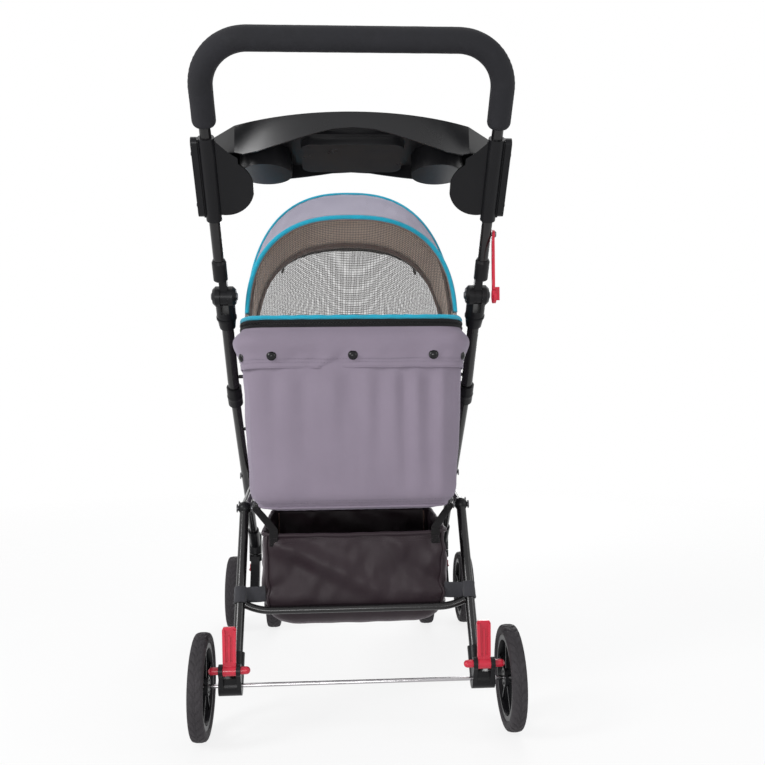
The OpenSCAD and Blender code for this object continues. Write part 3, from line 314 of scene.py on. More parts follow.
def metal(name, colour, rough, metallic, brushed, speckle=0.0, spec=0.5):
    """Bare or enamelled metal; brushed stretches its fine lines along the object's axes."""
    m = Mat(name, colour, rough, Metallic=metallic, Specular_IOR_Level=spec)
    at = m.coord()
    clouds = m.noise(25, 4, 0.6, at)
    lines = m.noise(260, 3, 0.6, at, brushed)
    base = m.clouded(clouds, colour, 0.9, 1.1)
    base = m.mix(m.math("MULTIPLY", m.edges(), 0.35), base, shade(colour, 1.8))
    if speckle:
        base = m.mix(m.spread(m.noise(2600, 1, 0.5, at), 0.62, 0.75, 0, speckle), base, shade(colour, 2.4))
    m.colour(base)
    m.rough(lines, rough - 0.06, rough + 0.08)
    m.bump((lines, 0.00005, 0.35), (m.noise(700, 2, 0.5, at), 0.00006, 0.3))
    return m.m


def rubber(name, colour, rough, cell, depth, dust=1.5):
    m = Mat(name, colour, rough, Specular_IOR_Level=0.2)
    at = m.coord()
    pores = m.cells(cell, at)
    clouds = m.noise(22, 4, 0.65, at)
    base = m.clouded(clouds, colour, 0.8, 1.15)
    base = m.mix(m.spread(m.noise(60, 5, 0.7, at), 0.52, 0.75, 0, 0.35), base, shade(colour, dust))
    m.colour(base)
    m.rough(clouds, rough - 0.06, rough + 0.1)
    m.bump((pores, depth, 0.5), (m.noise(150, 3, 0.6, at), 0.0003, 0.3))
    return m.m


MAUVE = srgb(129, 119, 133)
BLUE = srgb(28, 172, 202)
MATS = {
    "enamel": metal("enamel", (0.0055, 0.005, 0.0055), 0.2, 0.0, (1, 1, 0.2), 0.15, 0.42),
    "grip": rubber("grip_foam", (0.018, 0.018, 0.021), 0.82, 1300, 0.0004),
    "plastic": plastic("black_plastic", (0.007, 0.007, 0.008), 0.33, spec=0.16),
    "tray": plastic("tray_plastic", (0.007, 0.007, 0.008), 0.3, 900, 0.00004, 0.0, 1.5, 0.38),
    "red": plastic("red_plastic", srgb(184, 32, 54), 0.3, 700, 0.00005, 0.3, 1.3),
    "steel": metal("zinc_steel", (0.09, 0.09, 0.095), 0.34, 1.0, (0.2, 1, 1)),
    "chrome": metal("chrome", (0.34, 0.33, 0.34), 0.14, 1.0, (0.05, 1, 1)),
    "tyre": rubber("tyre_rubber", (0.034, 0.031, 0.034), 0.72, 500, 0.0003, 1.9),
    "cabin": fabric("cabin_cloth", MAUVE, tint=(0.75, 0.7, 0.85)),
    "pad": fabric("cushion_cloth", MAUVE, tint=(0.75, 0.7, 0.85), sewn=False),
    "canopy": fabric("canopy_cloth", srgb(136, 132, 146), sheen=0.35, tint=(0.85, 0.8, 0.95)),
    "lining": fabric("brown_lining", srgb(244, 226, 212), 0.0011, cloudy=0.08),
    "hem": fabric("hem_tape", srgb(124, 102, 95), 0.0012),
    "blue": ribbed("blue_binding", BLUE, 0.0012, 0.62, 0.25, 0.9, 1.35),
    "zip": ribbed("zip_tape", (0.006, 0.006, 0.007), 0.0013, 0.6, 0.03),
    "cord": ribbed("black_cord", (0.008, 0.008, 0.009), 0.0016, 0.5, 0.03, 1.2),
    "net": net("window_net", (0.06, 0.055, 0.052), 0.0025, 0.23),
    "basket": fabric("basket_cloth", srgb(36, 26, 31), 0.0012, 0.48, 0.12, (0.8, 0.62, 0.75), cloudy=0.12, spec=0.22),
    "web": ribbed("webbing", (0.006, 0.0055, 0.006), 0.0018, 0.7, 0.02),
    "band": ribbed("leg_band", (0.04, 0.04, 0.046), 0.0016, 0.7, 0.15),
    "thread": ribbed("thread", srgb(120, 112, 128), 0.0006, 0.6, 0.1, 1.0),
    "dark_thread": ribbed("dark_thread", srgb(74, 62, 70), 0.0006, 0.6, 0.1, 1.0),
    "board": fabric("board_cloth", srgb(96, 84, 80), 0.0018, cloudy=0.1, sewn=False),
    "snap": plastic("snap_lacquer", (0.006, 0.006, 0.007), 0.13, 500, 0.00001, 0.0, spec=0.24),
}
# Each material's slot
FINISH = {
    "enamel": "frame_enamel", "grip": "foam_grip", "plastic": "black_plastic", "tray": "tray_plastic",
    "red": "red_plastic", "steel": "steel_pins", "chrome": "chrome_axle", "tyre": "tyre", "cabin": "cabin_fabric",
    "pad": "cabin_fabric", "canopy": "canopy_fabric", "lining": "canopy_fabric", "hem": "hoop_tape",
    "blue": "blue_piping", "zip": "rim_tape", "cord": "rim_tape", "net": "mesh", "basket": "basket_fabric",
    "web": "webbing", "band": "webbing", "thread": "cabin_fabric", "dark_thread": "basket_fabric", "board": "board",
    "snap": "black_plastic",
}
# The CAD's own parts take the first material of their slot
SLOT_MATERIAL = {slot: key for key, slot in reversed(FINISH.items())}


# ------------------------------------------------------------------ mesh makers (points in millimetres)

def build(name, points, faces, mat, uvs=None, mats=None, smooth=True):
    """A mesh piece. mat is one key of MATS or several, and mats gives each face its index among them."""
    mesh = bpy.data.meshes.new(name)
    mesh.from_pydata([tuple(p) for p in metres(points)], [], [tuple(int(i) for i in f) for f in faces])
    keys = [mat] if isinstance(mat, str) else list(mat)
    for key in keys:
        mesh.materials.append(MATS[key])
    if mats is not None:
        mesh.polygons.foreach_set("material_index", np.asarray(mats, np.int32))
    if uvs is not None:
        layer = mesh.uv_layers.new(name="lengths")
        loops = np.empty(len(mesh.loops), np.int32)
        mesh.loops.foreach_get("vertex_index", loops)
        layer.data.foreach_set("uv", (np.asarray(uvs, float)[loops] / 1000).ravel())
    mesh.polygons.foreach_set("use_smooth", [smooth] * len(mesh.polygons))
    mesh.validate()
    mesh.update()
    o = link(name, mesh)
    return o


def uv_grid(u, v):
    return np.stack(np.meshgrid(u, v), axis=-1).reshape(-1, 2)


def lengths(grid):
    """UVs of a grid in millimetres: the length along its rows and along its columns."""
    along = np.linalg.norm(np.diff(grid, axis=1), axis=2).mean(axis=0)
    across = np.linalg.norm(np.diff(grid, axis=0), axis=2).mean(axis=1)
    return uv_grid(*(np.concatenate([[0], np.cumsum(steps)]) for steps in (along, across)))


def declare_sheet(grid):
    """Works out a sheet's flat size: its longest row and column laid out straight, and its own area; these values are
    not used.
    """
    grid = np.asarray(grid, float) / 1000
    width = np.linalg.norm(np.diff(grid, axis=1), axis=2).sum(axis=1).max()
    length = np.linalg.norm(np.diff(grid, axis=0), axis=2).sum(axis=0).max()
    across, down = grid[1:, 1:] - grid[:-1, :-1], grid[1:, :-1] - grid[:-1, 1:]
    area = np.linalg.norm(np.cross(across, down), axis=2).sum() / 2


def grid_faces(rows, cols, closed=False, start=0, flip=False):
    faces = []
    for j in range(rows - 1):
        for i in range(cols if closed else cols - 1):
            a, b = start + j * cols + i, start + j * cols + (i + 1) % cols
            f = (a, b, b + cols, a + cols)
            faces.append(f[::-1] if flip else f)
    return faces


def swell(v, power):
    """A cosine or sine raised to a power with its sign kept: the outline of a superellipse."""
    return np.sign(v) * abs(v) ** power


def unit(v):
    return v / np.maximum(np.linalg.norm(v, axis=-1, keepdims=True), 1e-9)


def normals(grid, closed=False):
    g = np.asarray(grid, float)
    if closed:
        du = np.roll(g, -1, axis=1) - np.roll(g, 1, axis=1)
    else:
        du = np.gradient(g, axis=1)
    return unit(np.cross(du, np.gradient(g, axis=0)))


def outward(grid, axis):
    """Normals that point up the axis in the grid's middle."""
    n = normals(grid)
    return n * np.sign(n[n.shape[0] // 2, n.shape[1] // 2, axis])


def slab(name, outer, inner, mat, closed=False):
    """A cloth of some thickness between two grids, whose edges are joined; mat is (outside, inside)."""
    rows, cols = outer.shape[:2]
    count = rows * cols
    points = np.concatenate([outer.reshape(-1, 3), inner.reshape(-1, 3)])
    edges = []
    e = (rows - 1) * cols
    for i in range(cols if closed else cols - 1):
        k = (i + 1) % cols
        edges += [(k, i), (e + i, e + k)]
    if not closed:
        for a in range(0, e, cols):
            b, last = a + cols, cols - 1
            edges += [(a, b), (b + last, a + last)]
    front, back = grid_faces(rows, cols, closed), grid_faces(rows, cols, closed, count, True)
    faces = front + back + [(a, b, count + b, count + a) for a, b in edges]
    mats = [0] * len(front) + [1] * len(back) + [0] * len(edges)
    return build(name, points, faces, mat, np.tile(lengths(outer), (2, 1)), mats)


def frames(path, ref=None, closed=False):
    path = np.asarray(path, float)
    if closed:
        t = np.roll(path, -1, axis=0) - np.roll(path, 1, axis=0)
    else:
        t = np.gradient(path, axis=0)
    t = unit(t)
    if ref is not None:
        u = unit(np.cross(np.broadcast_to(np.asarray(ref, float), path.shape), t))
    else:
        u = np.zeros_like(path)
        u[0] = unit(np.cross(t[0], (0.3, 0.2, 1.0)))
        for i in range(1, len(path)):
            u[i] = unit(u[i - 1] - t[i] * np.dot(u[i - 1], t[i]))
    return t, u, np.cross(t, u)


def tube(name, path, radius, mat, sides, closed=False, ref=None, section=None):
    """A tube along a path. section(i, angles) gives (across, up) of its outline; otherwise it is round."""
    path = np.asarray(path, float)
    n = len(path)
    _, u, v = frames(path, ref, closed)
    angles = turn(sides)
    r = np.broadcast_to(np.asarray(radius, float), (n,))
    rings = []
    for i in range(n):
        a, b = (r[i] * np.cos(angles), r[i] * np.sin(angles)) if section is None else section(i, angles)
        rings.append(path[i] + a[:, None] * u[i] + b[:, None] * v[i])
    along = arc(path)
    uv = np.stack([np.repeat(along, sides), np.tile(angles * float(r.mean()), n)], axis=-1)
    points = np.array(rings).reshape(-1, 3)
    faces = grid_faces(n, sides, True, 0, True)
    e = (n - 1) * sides
    if closed:
        faces += [(e + (k + 1) % sides, e + k, k, (k + 1) % sides) for k in range(sides)]
    else:
        points = np.concatenate([points, [path[0]], [path[-1]]])
        uv = np.concatenate([uv, [[0, 0]], [[along[-1], 0]]])
        faces += [(k, (k + 1) % sides, n * sides) for k in range(sides)]
        faces += [(e + (k + 1) % sides, e + k, n * sides + 1) for k in range(sides)]
    return build(name, points, faces, mat, uv)


def ribbon(name, path, width, thick, mat, across):
    """A flat strap with softly rounded edges; across points over its width."""
    def section(i, a):
        c, s = np.cos(a), np.sin(a)
        return width / 2 * swell(c, 0.35), thick / 2 * swell(s, 0.6)
    path = np.asarray(path, float)
    up = np.cross(frames(path)[0], np.broadcast_to(np.asarray(across, float), path.shape))
    return tube(name, path, width / 2, mat, 20, ref=up, section=section)


def merge(name, objects):
    """Joins pieces of one body into one, in order, and keeps their materials."""
    chosen = {"active_object": objects[0], "selected_objects": objects, "selected_editable_objects": objects}
    with bpy.context.temp_override(**chosen):
        bpy.ops.object.join()
    objects[0].name = name
    return objects[0]


def stitches(name, path, mat="thread", length=3.4, gap=1.5, radius=0.34):
    """A line of short spindles sewn along a path that already lies on the cloth."""
    path = np.asarray(path, float)
    step = arc(path)
    count = max(1, int(step[-1] / (length + gap)))
    points, faces, uvs = [], [], []
    for k in range(count):
        s = (k + 0.5) / count * step[-1]
        ends = [along_path(s + d, step, path) for d in (-length / 2, 0, length / 2)]
        t = unit(ends[2] - ends[0])
        side = unit(np.cross(t, (0.13, 0.31, 0.94)))
        up = np.cross(t, side)
        base = len(points)
        points.append(ends[0])
        points += [ends[1] + radius * (math.cos(q) * side + math.sin(q) * up) for q in (0, 1.571, 3.142, 4.712)]
        points.append(ends[2])
        uvs += [(s - length / 2, 0)] + [(s, q) for q in (0, 0.5, 1, 1.5)] + [(s + length / 2, 0)]
        for q in range(4):
            a, b = base + 1 + q, base + 1 + (q + 1) % 4
            faces += [(base, b, a), (a, b, base + 5)]
    return build(name, points, faces, mat, uvs)


def along_path(s, step, path):
    return np.stack([np.interp(s, step, path[:, c]) for c in range(3)], axis=-1)


def resample(path, count):
    path = np.asarray(path, float)
    step = arc(path)
    return along_path(np.linspace(0, step[-1], count), step, path)


def equal_steps(path, values, count, closed=False):
    """Values, each given at a point of a path, read again at equal steps along it."""
    s = arc(path)
    return np.interp(np.linspace(0, s[-1], count, endpoint=not closed), s, values)


def smooth_path(points, count):
    """A smooth curve through a few points."""
    p = np.asarray(points, float)
    p = np.concatenate([[2 * p[0] - p[1]], p, [2 * p[-1] - p[-2]]])
    out = []
    for i in range(1, len(p) - 2):
        for f in np.linspace(0, 1, 16, endpoint=False):
            a, b, c, d = p[i - 1:i + 3]
            cubic = (3 * b - a - 3 * c + d) * f ** 3
            out.append(0.5 * (2 * b + (c - a) * f + (2 * a - 5 * b + 4 * c - d) * f * f + cubic))
    out.append(p[-2])
    return resample(out, count)


def wobble(x, y, z=0.0):
    return noise.noise(Vector((float(x), float(y), float(z))))


def ridge(x, z, line):
    """The height at (x, z) of a soft fold along a line: its two ends, height and width."""
    x0, z0, x1, z1, high, wide = line
    dx, dz = x1 - x0, z1 - z0
    f = min(1.0, max(0.0, ((x - x0) * dx + (z - z0) * dz) / (dx * dx + dz * dz)))
    off = math.hypot(x - x0 - dx * f, z - z0 - dz * f)
    return high * math.exp(-(off / wide) ** 2) * (1 - 0.75 * f)


def over(grid):
    """Every point of a grid, as its row, its column and its x, y and z."""
    for j, i in np.ndindex(grid.shape[:2]):
        yield (j, i, *grid[j, i])


def smoothstep(low, high, x):
    f = np.clip((np.asarray(x, float) - low) / (high - low), 0, 1)
    return f * f * (3 - 2 * f)


# ------------------------------------------------------------------ the cabin's outline

def rim_height(y):
    return RIM_Z - RIM_TILT * (y - REAR_Y)


PLAN_N, PLAN_TAPER = 12.0, 0.01     # the rim is a superellipse, a little narrower at its ends
HOOP_INSET, NET_INSET = 3.6, 4.3    # how far inside the rim the hoops and the mesh stand
ARCH_N = 2.5
# A hoop's foot and apex along Y, and its height over the rim
REAR_ARCH, PEAK_HOOP, FRONT_HOOP = (118.0, 150.0, 173.0), (175.0, 270.0, 238.0), (300.0, 410.0, 182.0)


def plan(half_w, half_l, a, n=PLAN_N, taper=PLAN_TAPER):
    c, s = np.cos(a), np.sin(a)
    r = ((abs(c) / half_w) ** n + (abs(s) / half_l) ** n) ** (-1 / n)
    x, y = r * c, r * s
    return x * (1 - taper * (y / half_l) ** 2), y


def skin(h, a, off=0.0, up=0.0):
    """Points of the cabin's outside, h above its floor; a is the angle round it."""
    half_w = FLOOR_HALF_W + (HALF_W - FLOOR_HALF_W) * np.asarray(h, float) / CABIN_H
    x, y = plan(half_w + off, LENGTH / 2 + off, a)
    y = MID_Y + y
    z = FLOOR_Z + h / CABIN_H * (rim_height(y) - FLOOR_Z) + up
    return np.stack(np.broadcast_arrays(x, y, z), axis=-1)


def even_angles(count, low=0, high=360):
    """Angles that divide the cabin's outline, or its part from low to high degrees, into equal lengths."""
    fine = np.radians(np.linspace(low, high, 3000))
    return equal_steps(skin(CABIN_H, fine), fine, count, high - low == 360)


def hoop_half(base_y):
    """Half the width between a hoop's feet, which stand just inside the rim."""
    u = abs(base_y - MID_Y) / (LENGTH / 2)
    return HALF_W * (1 - PLAN_TAPER * u * u) * (1 - u ** PLAN_N) ** (1 / PLAN_N) - HOOP_INSET


def hoop(base_y, apex_y, h, t, off=0.0):
    """Points of a canopy hoop; t runs from 0 at the left foot to pi at the right."""
    c, s = np.cos(t), np.sin(t)
    x = -(hoop_half(base_y) + off) * swell(c, 2 / ARCH_N)
    lift = (h + off) * np.maximum(s, 0) ** (2 / ARCH_N)
    return np.stack([x, base_y + (apex_y - base_y) * lift / (h + off), rim_height(base_y) + 3 + lift], axis=-1)


def arch_angles(low, high, count):
    fine = np.radians(np.linspace(low, high, 2000))
    return equal_steps(hoop(*REAR_ARCH, fine), fine, count)


def foot(t, hoop_y, way, n):
    """A mesh panel's foot on the rim, from the hoop's feet at hoop_y round the cabin's end."""
    w = hoop_half(hoop_y) + HOOP_INSET - NET_INSET
    reach = LENGTH / 2 + way * (MID_Y - hoop_y) - NET_INSET
    r = ((abs(np.cos(t)) / w) ** n + (np.sin(t) / reach) ** n) ** (-1 / n)
    y = hoop_y + way * r * np.sin(t)
    return np.stack([-r * np.cos(t), y, rim_height(y) + 0.4], axis=-1)


# ------------------------------------------------------------------ cabin pieces

SQUASHED = []
BOTTOM_R = 35


def soft(piece, body="chassis"):
    """A cabin piece: it rides on its body, and it is kept in SQUASHED, whose pieces get their own meshes at the end.
    """
    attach(piece, body)
    SQUASHED.append(piece)
    return piece


def panel_crown(p):
    """How far the padded walls stand out between their corners."""
    x, y, z = p[..., 0], p[..., 1], p[..., 2]
    h = (z - FLOOR_Z) / CABIN_H
    tall = np.clip(np.sin(np.clip(h, 0, 1) * math.pi), 0, 1) ** 0.7
    on_end = smoothstep(0.9, 0.985, abs(y - MID_Y) / (LENGTH / 2))
    ends = np.clip(1 - (abs(x) / FLOOR_HALF_W) ** 4, 0, 1) * on_end * 3.2 * tall
    sides = np.clip(1 - (abs(y - MID_Y) / 245) ** 4, 0, 1) * (1 - on_end) * 4.0 * smoothstep(60, 150, z - FLOOR_Z)
    return ends + sides * smoothstep(1.0, 0.85, h)


# Folds of the back panel, in X and the height above the floor: they hang from the flap and run out.
PANEL_FOLDS = (
    (-152, 290, -156, 0, 5.0, 9), (-126, 290, -120, 40, -5.5, 11), (-98, 280, -104, 130, 3.0, 10),
    (-66, 290, -78, 90, -4.0, 13), (-34, 280, -28, 120, 4.0, 11), (-6, 260, -2, 150, -3.6, 10),
    (20, 270, 26, 130, 4.2, 10), (44, 270, 40, 90, -4.2, 10), (62, 270, 66, 60, 3.0, 8),
    (76, 275, 80, 40, -4.5, 8), (94, 275, 100, 0, 7.0, 9), (116, 280, 122, 10, -5.5, 10),
    (138, 280, 130, -60, 6.5, 8), (158, 240, 150, 0, -4.5, 8), (-20, 90, 60, 40, 2.2, 24),
    (-120, 40, -40, 90, 2.6, 22))
# Creases of the basket's back, in X and Z: from the corners that the straps and the leg bands pull
BASKET_FOLDS = (
    (-112, 262, 30, 196, 9.0, 15), (-90, 232, 20, 176, -6.0, 13), (134, 196, 62, 236, -5.5, 9),
    (136, 184, 40, 190, 5.0, 10), (128, 250, 96, 205, 6.0, 9), (-134, 190, -84, 214, -5.0, 9),
    (-128, 182, -50, 178, 4.0, 9), (60, 270, 84, 226, 4.5, 11), (10, 268, 30, 238, -3.5, 13),
    (-40, 270, -66, 246, 3.0, 10), (112, 268, 132, 226, -4.0, 7))


def cabin_round(q):
    """The rounded edge of the cabin's floor: its height and its place inside the wall at angle q."""
    return BOTTOM_R * (1 - math.cos(q)), -BOTTOM_R * (1 - math.sin(q))


def rounded(h):
    return cabin_round(math.acos(1 - h / BOTTOM_R))[1]


def cabin_shell():
    """The cabin's padded cloth outside and in, and its bottom seam."""
    a = even_angles(300)
    rows = [(0.0, -FLOOR_HALF_W * (1 - f)) for f in (0.05, 0.25, 0.45, 0.62)]
    rows += [(h, off) for h, off in map(cabin_round, np.radians(np.linspace(0, 90, 8)))]
    rows += [(h, 0.0) for h in np.linspace(46, CABIN_H, 26)]
    outer = np.array([skin(h, a, off) for h, off in rows])
    n = normals(outer, True)
    around = arc(outer[-1])
    bulge = panel_crown(outer)
    for j, i, x, y, z in over(outer):
        s, h, top = around[i], z - FLOOR_Z, rim_height(y) - FLOOR_Z
        fade = min(1.0, h / 50) * min(1.0, max(0.0, (top - 13 - h) / 16))
        near_rail = 1 - 0.85 * smoothstep(150, 165, abs(x)) * smoothstep(75, 45, h)
        f = 2.6 * wobble(x / 36 + 3.3, y / 60, h / 300) + 1.1 * wobble(x / 19, y / 21 + 7, h / 130)
        f += 2.2 * wobble(x / 70 + h / 60, y / 70, h / 70 + 5)
        if y < MID_Y - 235:
            f += sum(ridge(x, h, line) for line in PANEL_FOLDS)
            f *= smoothstep(CABIN_H - 70, CABIN_H - 94, h)
        pucker = 0.8 * math.sin(s / 2.6 + 3 * wobble(s / 30, 1)) * math.exp(-abs(h - 10) / 7)
        pucker -= 1.1 * math.exp(-((h - 13) / 1.6) ** 2)
        outer[j, i] += n[j, i] * ((bulge[j, i] + f) * fade * near_rail + pucker * near_rail)
    deep = [(6.0, off - 4) for _, off in rows[:4]]
    deep += [(8 + 29 * (1 - math.cos(q)), -6 - 29 * (1 - math.sin(q))) for q in np.radians(np.linspace(0, 90, 8))]
    deep += [(h, -6.0) for h, _ in rows[12:]]
    inner = np.array([skin(h, a, off) for h, off in deep])
    m = normals(inner, True)
    for j, i, x, y, z in over(inner[12:]):
        fade = min(1.0, max(0.0, (rim_height(y) - z) / 20))
        inner[12 + j, i] += m[12 + j, i] * 1.1 * wobble(x / 30 + 9, y / 30, z / 120) * fade
    shell = slab("cabin_shell", outer, inner, ("cabin", "lining"), True)
    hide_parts("cabin_tub")
    soft(shell)
    # the bottom seam's bound edge, with its two lines of sewing
    soft(tube("bottom_seam_cord", skin(7.0, a, rounded(7.0) + 0.6), 2.2, "cabin", 8, True))
    for k, h in enumerate((14.5, 18.5)):
        soft(stitches(f"bottom_seam_sewing_{k}", skin(h, even_angles(700), rounded(h) + 0.75)))


def rim():
    """The zip tape round the rim with its cords and teeth, and the blue binding on top."""
    a = even_angles(420)
    section = ((0.5, -11.5), (1.6, -11.2), (2.0, -6), (1.6, 0.3), (0.5, 0.5))
    tape = np.array([skin(CABIN_H, a, off, up) for off, up in section])
    back = np.array([skin(CABIN_H, a, 0.3, up) for up in (-11.5, -9, -6, -3, 0.5)])
    band = slab("rim_zip_tape", tape, back, ("zip", "zip"), True)
    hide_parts("cabin_rim")
    soft(band)
    for k, up in enumerate((-2.3, -9.2)):
        soft(tube(f"rim_cord_{k}", skin(CABIN_H, a, 2.3, up), 2.2, "cord", 10, True))
    # zip teeth between the two cords
    b = even_angles(620)
    p = skin(CABIN_H, b, 2.2, -5.75)
    t, _, _ = frames(p, None, True)
    points, faces, uvs = [], [], []
    for i in range(len(p)):
        out = np.cross(t[i], UPRIGHT)
        lean = 0.5 if i % 2 else -0.5
        for d in (-0.75, 0.75):
            for o, w in ((-0.4, -1.5), (0.9, -1.1), (0.9, 1.1), (-0.4, 1.5)):
                points.append(p[i] + t[i] * d + out * o + UPRIGHT * (w + lean))
                uvs.append((d, w))
        sides = ((0, 1, 5, 4), (1, 2, 6, 5), (2, 3, 7, 6), (0, 3, 2, 1), (4, 5, 6, 7))
        faces += [tuple(8 * i + k for k in f) for f in sides]
    soft(build("rim_zip_teeth", points, faces, "plastic", uvs, smooth=False))
    path = skin(CABIN_H, a, 0.5, 3.8)
    path[:, 2] += [0.25 * math.sin(i * 0.9) + 0.35 * wobble(i / 14, 2) for i in range(len(path))]
    cord = tube("rim_binding", path, 3.5 + 0.12 * np.sin(np.arange(len(path)) * 0.55), "blue", 14, True)
    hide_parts("rim_piping")
    soft(cord)
    sewn = skin(CABIN_H, even_angles(900), 3.9, 2.0)
    soft(stitches("rim_binding_sewing", sewn, "thread", 2.6, 1.3, 0.3))


# The flap's section: how far down from the rim, and how far out from the wall
FLAP_ROWS = ((11.0, 0.3), (17.0, 2.0), (30.0, 6.0), (43.0, 6.6), (55.0, 5.0), (66.0, 3.4), (73.0, 3.0))
# The press studs: how far down from the rim, how far they hold the cloth flat, and their turned section
STUD_DROP, STUD_HOLD = 55.0, 13
STUD_PROFILE = (
    (0.01, 4.0), (2.0, 3.85), (3.8, 3.3), (5.3, 2.5), (6.2, 1.6), (6.5, 1.1), (6.9, 1.2), (7.4, 0.9), (7.6, 0.0))


def stud_point(a):
    return skin(CABIN_H - STUD_DROP, a, 0.4 + np.interp(STUD_DROP, *np.array(FLAP_ROWS).T) + 1.75)


def flap():
    """The flap that hangs over the cabin's back, with its five press studs."""
    side = math.degrees(math.atan2(159.5, HALF_W))
    a = even_angles(170, 180 + side, 360 - side)
    curve = smooth_path([(0, d, o) for d, o in FLAP_ROWS], 26)[:, 1:]
    outer, inner = (np.array([skin(CABIN_H - d, a, 0.4 + off + thick) for d, off in curve]) for thick in (1.8, 0))
    n = -normals(outer)
    rows, cols = outer.shape[:2]
    ends = [math.atan2(-LENGTH / 2, x0) for x0 in (0.0, -121.5, 121.5)]
    ends += [math.atan2(-240.0, x0 * HALF_W) for x0 in (-1, 1)]
    pinned = [stud_point(q) for q in ends]
    for j, i, x, y, z in over(outer):
        d = curve[j][0]
        low = smoothstep(20, 73, d)
        end = abs(i / (cols - 1) - 0.5) * 2
        f = 4.2 * wobble(x / 48 + 0.4, y / 48 + 4, d / 44) + 1.9 * wobble(x / 20 + d / 40, y / 20, d / 24)
        f -= 1.2 * math.exp(-((d - 63.5) / 2.2) ** 2)
        f += 0.8 * math.sin((x + 0.8 * d) / 12.5) * math.exp(-((x + 42) / 26) ** 2) * low
        drop = (0.8 * wobble(x / 30, y / 30, 9) - 1.6 * math.exp(-((x + 40) / 16) ** 2)) * low
        corner = 9 * max(0.0, (end - 0.93) / 0.07) ** 2 * low
        f += ridge(x, -d, (-58, -74, -26, -52, 2.6, 6)) - ridge(x, -d, (-44, -74, -18, -56, 3.0, 5))
        f *= 1 - math.exp(-(min(math.dist(outer[j, i], c) for c in pinned) / STUD_HOLD) ** 2)
        cheek = 4.0 * smoothstep(110, HALF_W, abs(x)) * smoothstep(180, 120, abs(y - REAR_Y) * 1.5)
        puff = math.exp(-((d - 31) / 14) ** 2) * (3.0 + cheek)
        move = n[j, i] * (f * (0.5 + 0.5 * low) + puff) * min(1.0, (d - 11) / 8) + UPRIGHT * (drop + corner)
        outer[j, i] += move
        inner[j, i] += move
    piece = slab("rear_flap_cloth", outer, inner, ("cabin", "cabin"))
    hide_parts("rear_flap")
    declare_sheet(outer)
    soft(piece)
    for k, back in enumerate((5, 3)):
        soft(stitches(f"flap_sewing_{k}", outer[rows - 1 - back] + n[rows - 1 - back] * 0.15))
    soft(tube("flap_hem", outer[rows - 1] - n[rows - 1] * 0.9, 1.25, "cabin", 8))
    # press studs: a turned cap with a raised ring on a washer
    studs = []
    for q, c in zip(ends, pinned):
        e = unit(stud_point(q + 0.01) - stud_point(q - 0.01))
        out = np.cross(e, UPRIGHT)
        uvs = [(r * math.cos(g), r * math.sin(g)) for r, _ in STUD_PROFILE for g in turn(28)]
        heights = np.repeat([z for _, z in STUD_PROFILE], 28)
        points = [c + e * u + UPRIGHT * v + out * z for (u, v), z in zip(uvs, heights)]
        studs.append(build("stud", points, grid_faces(len(STUD_PROFILE), 28, True), "snap", uvs))
    studs = merge("flap_studs", studs)
    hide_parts("flap_snaps")
    soft(studs)


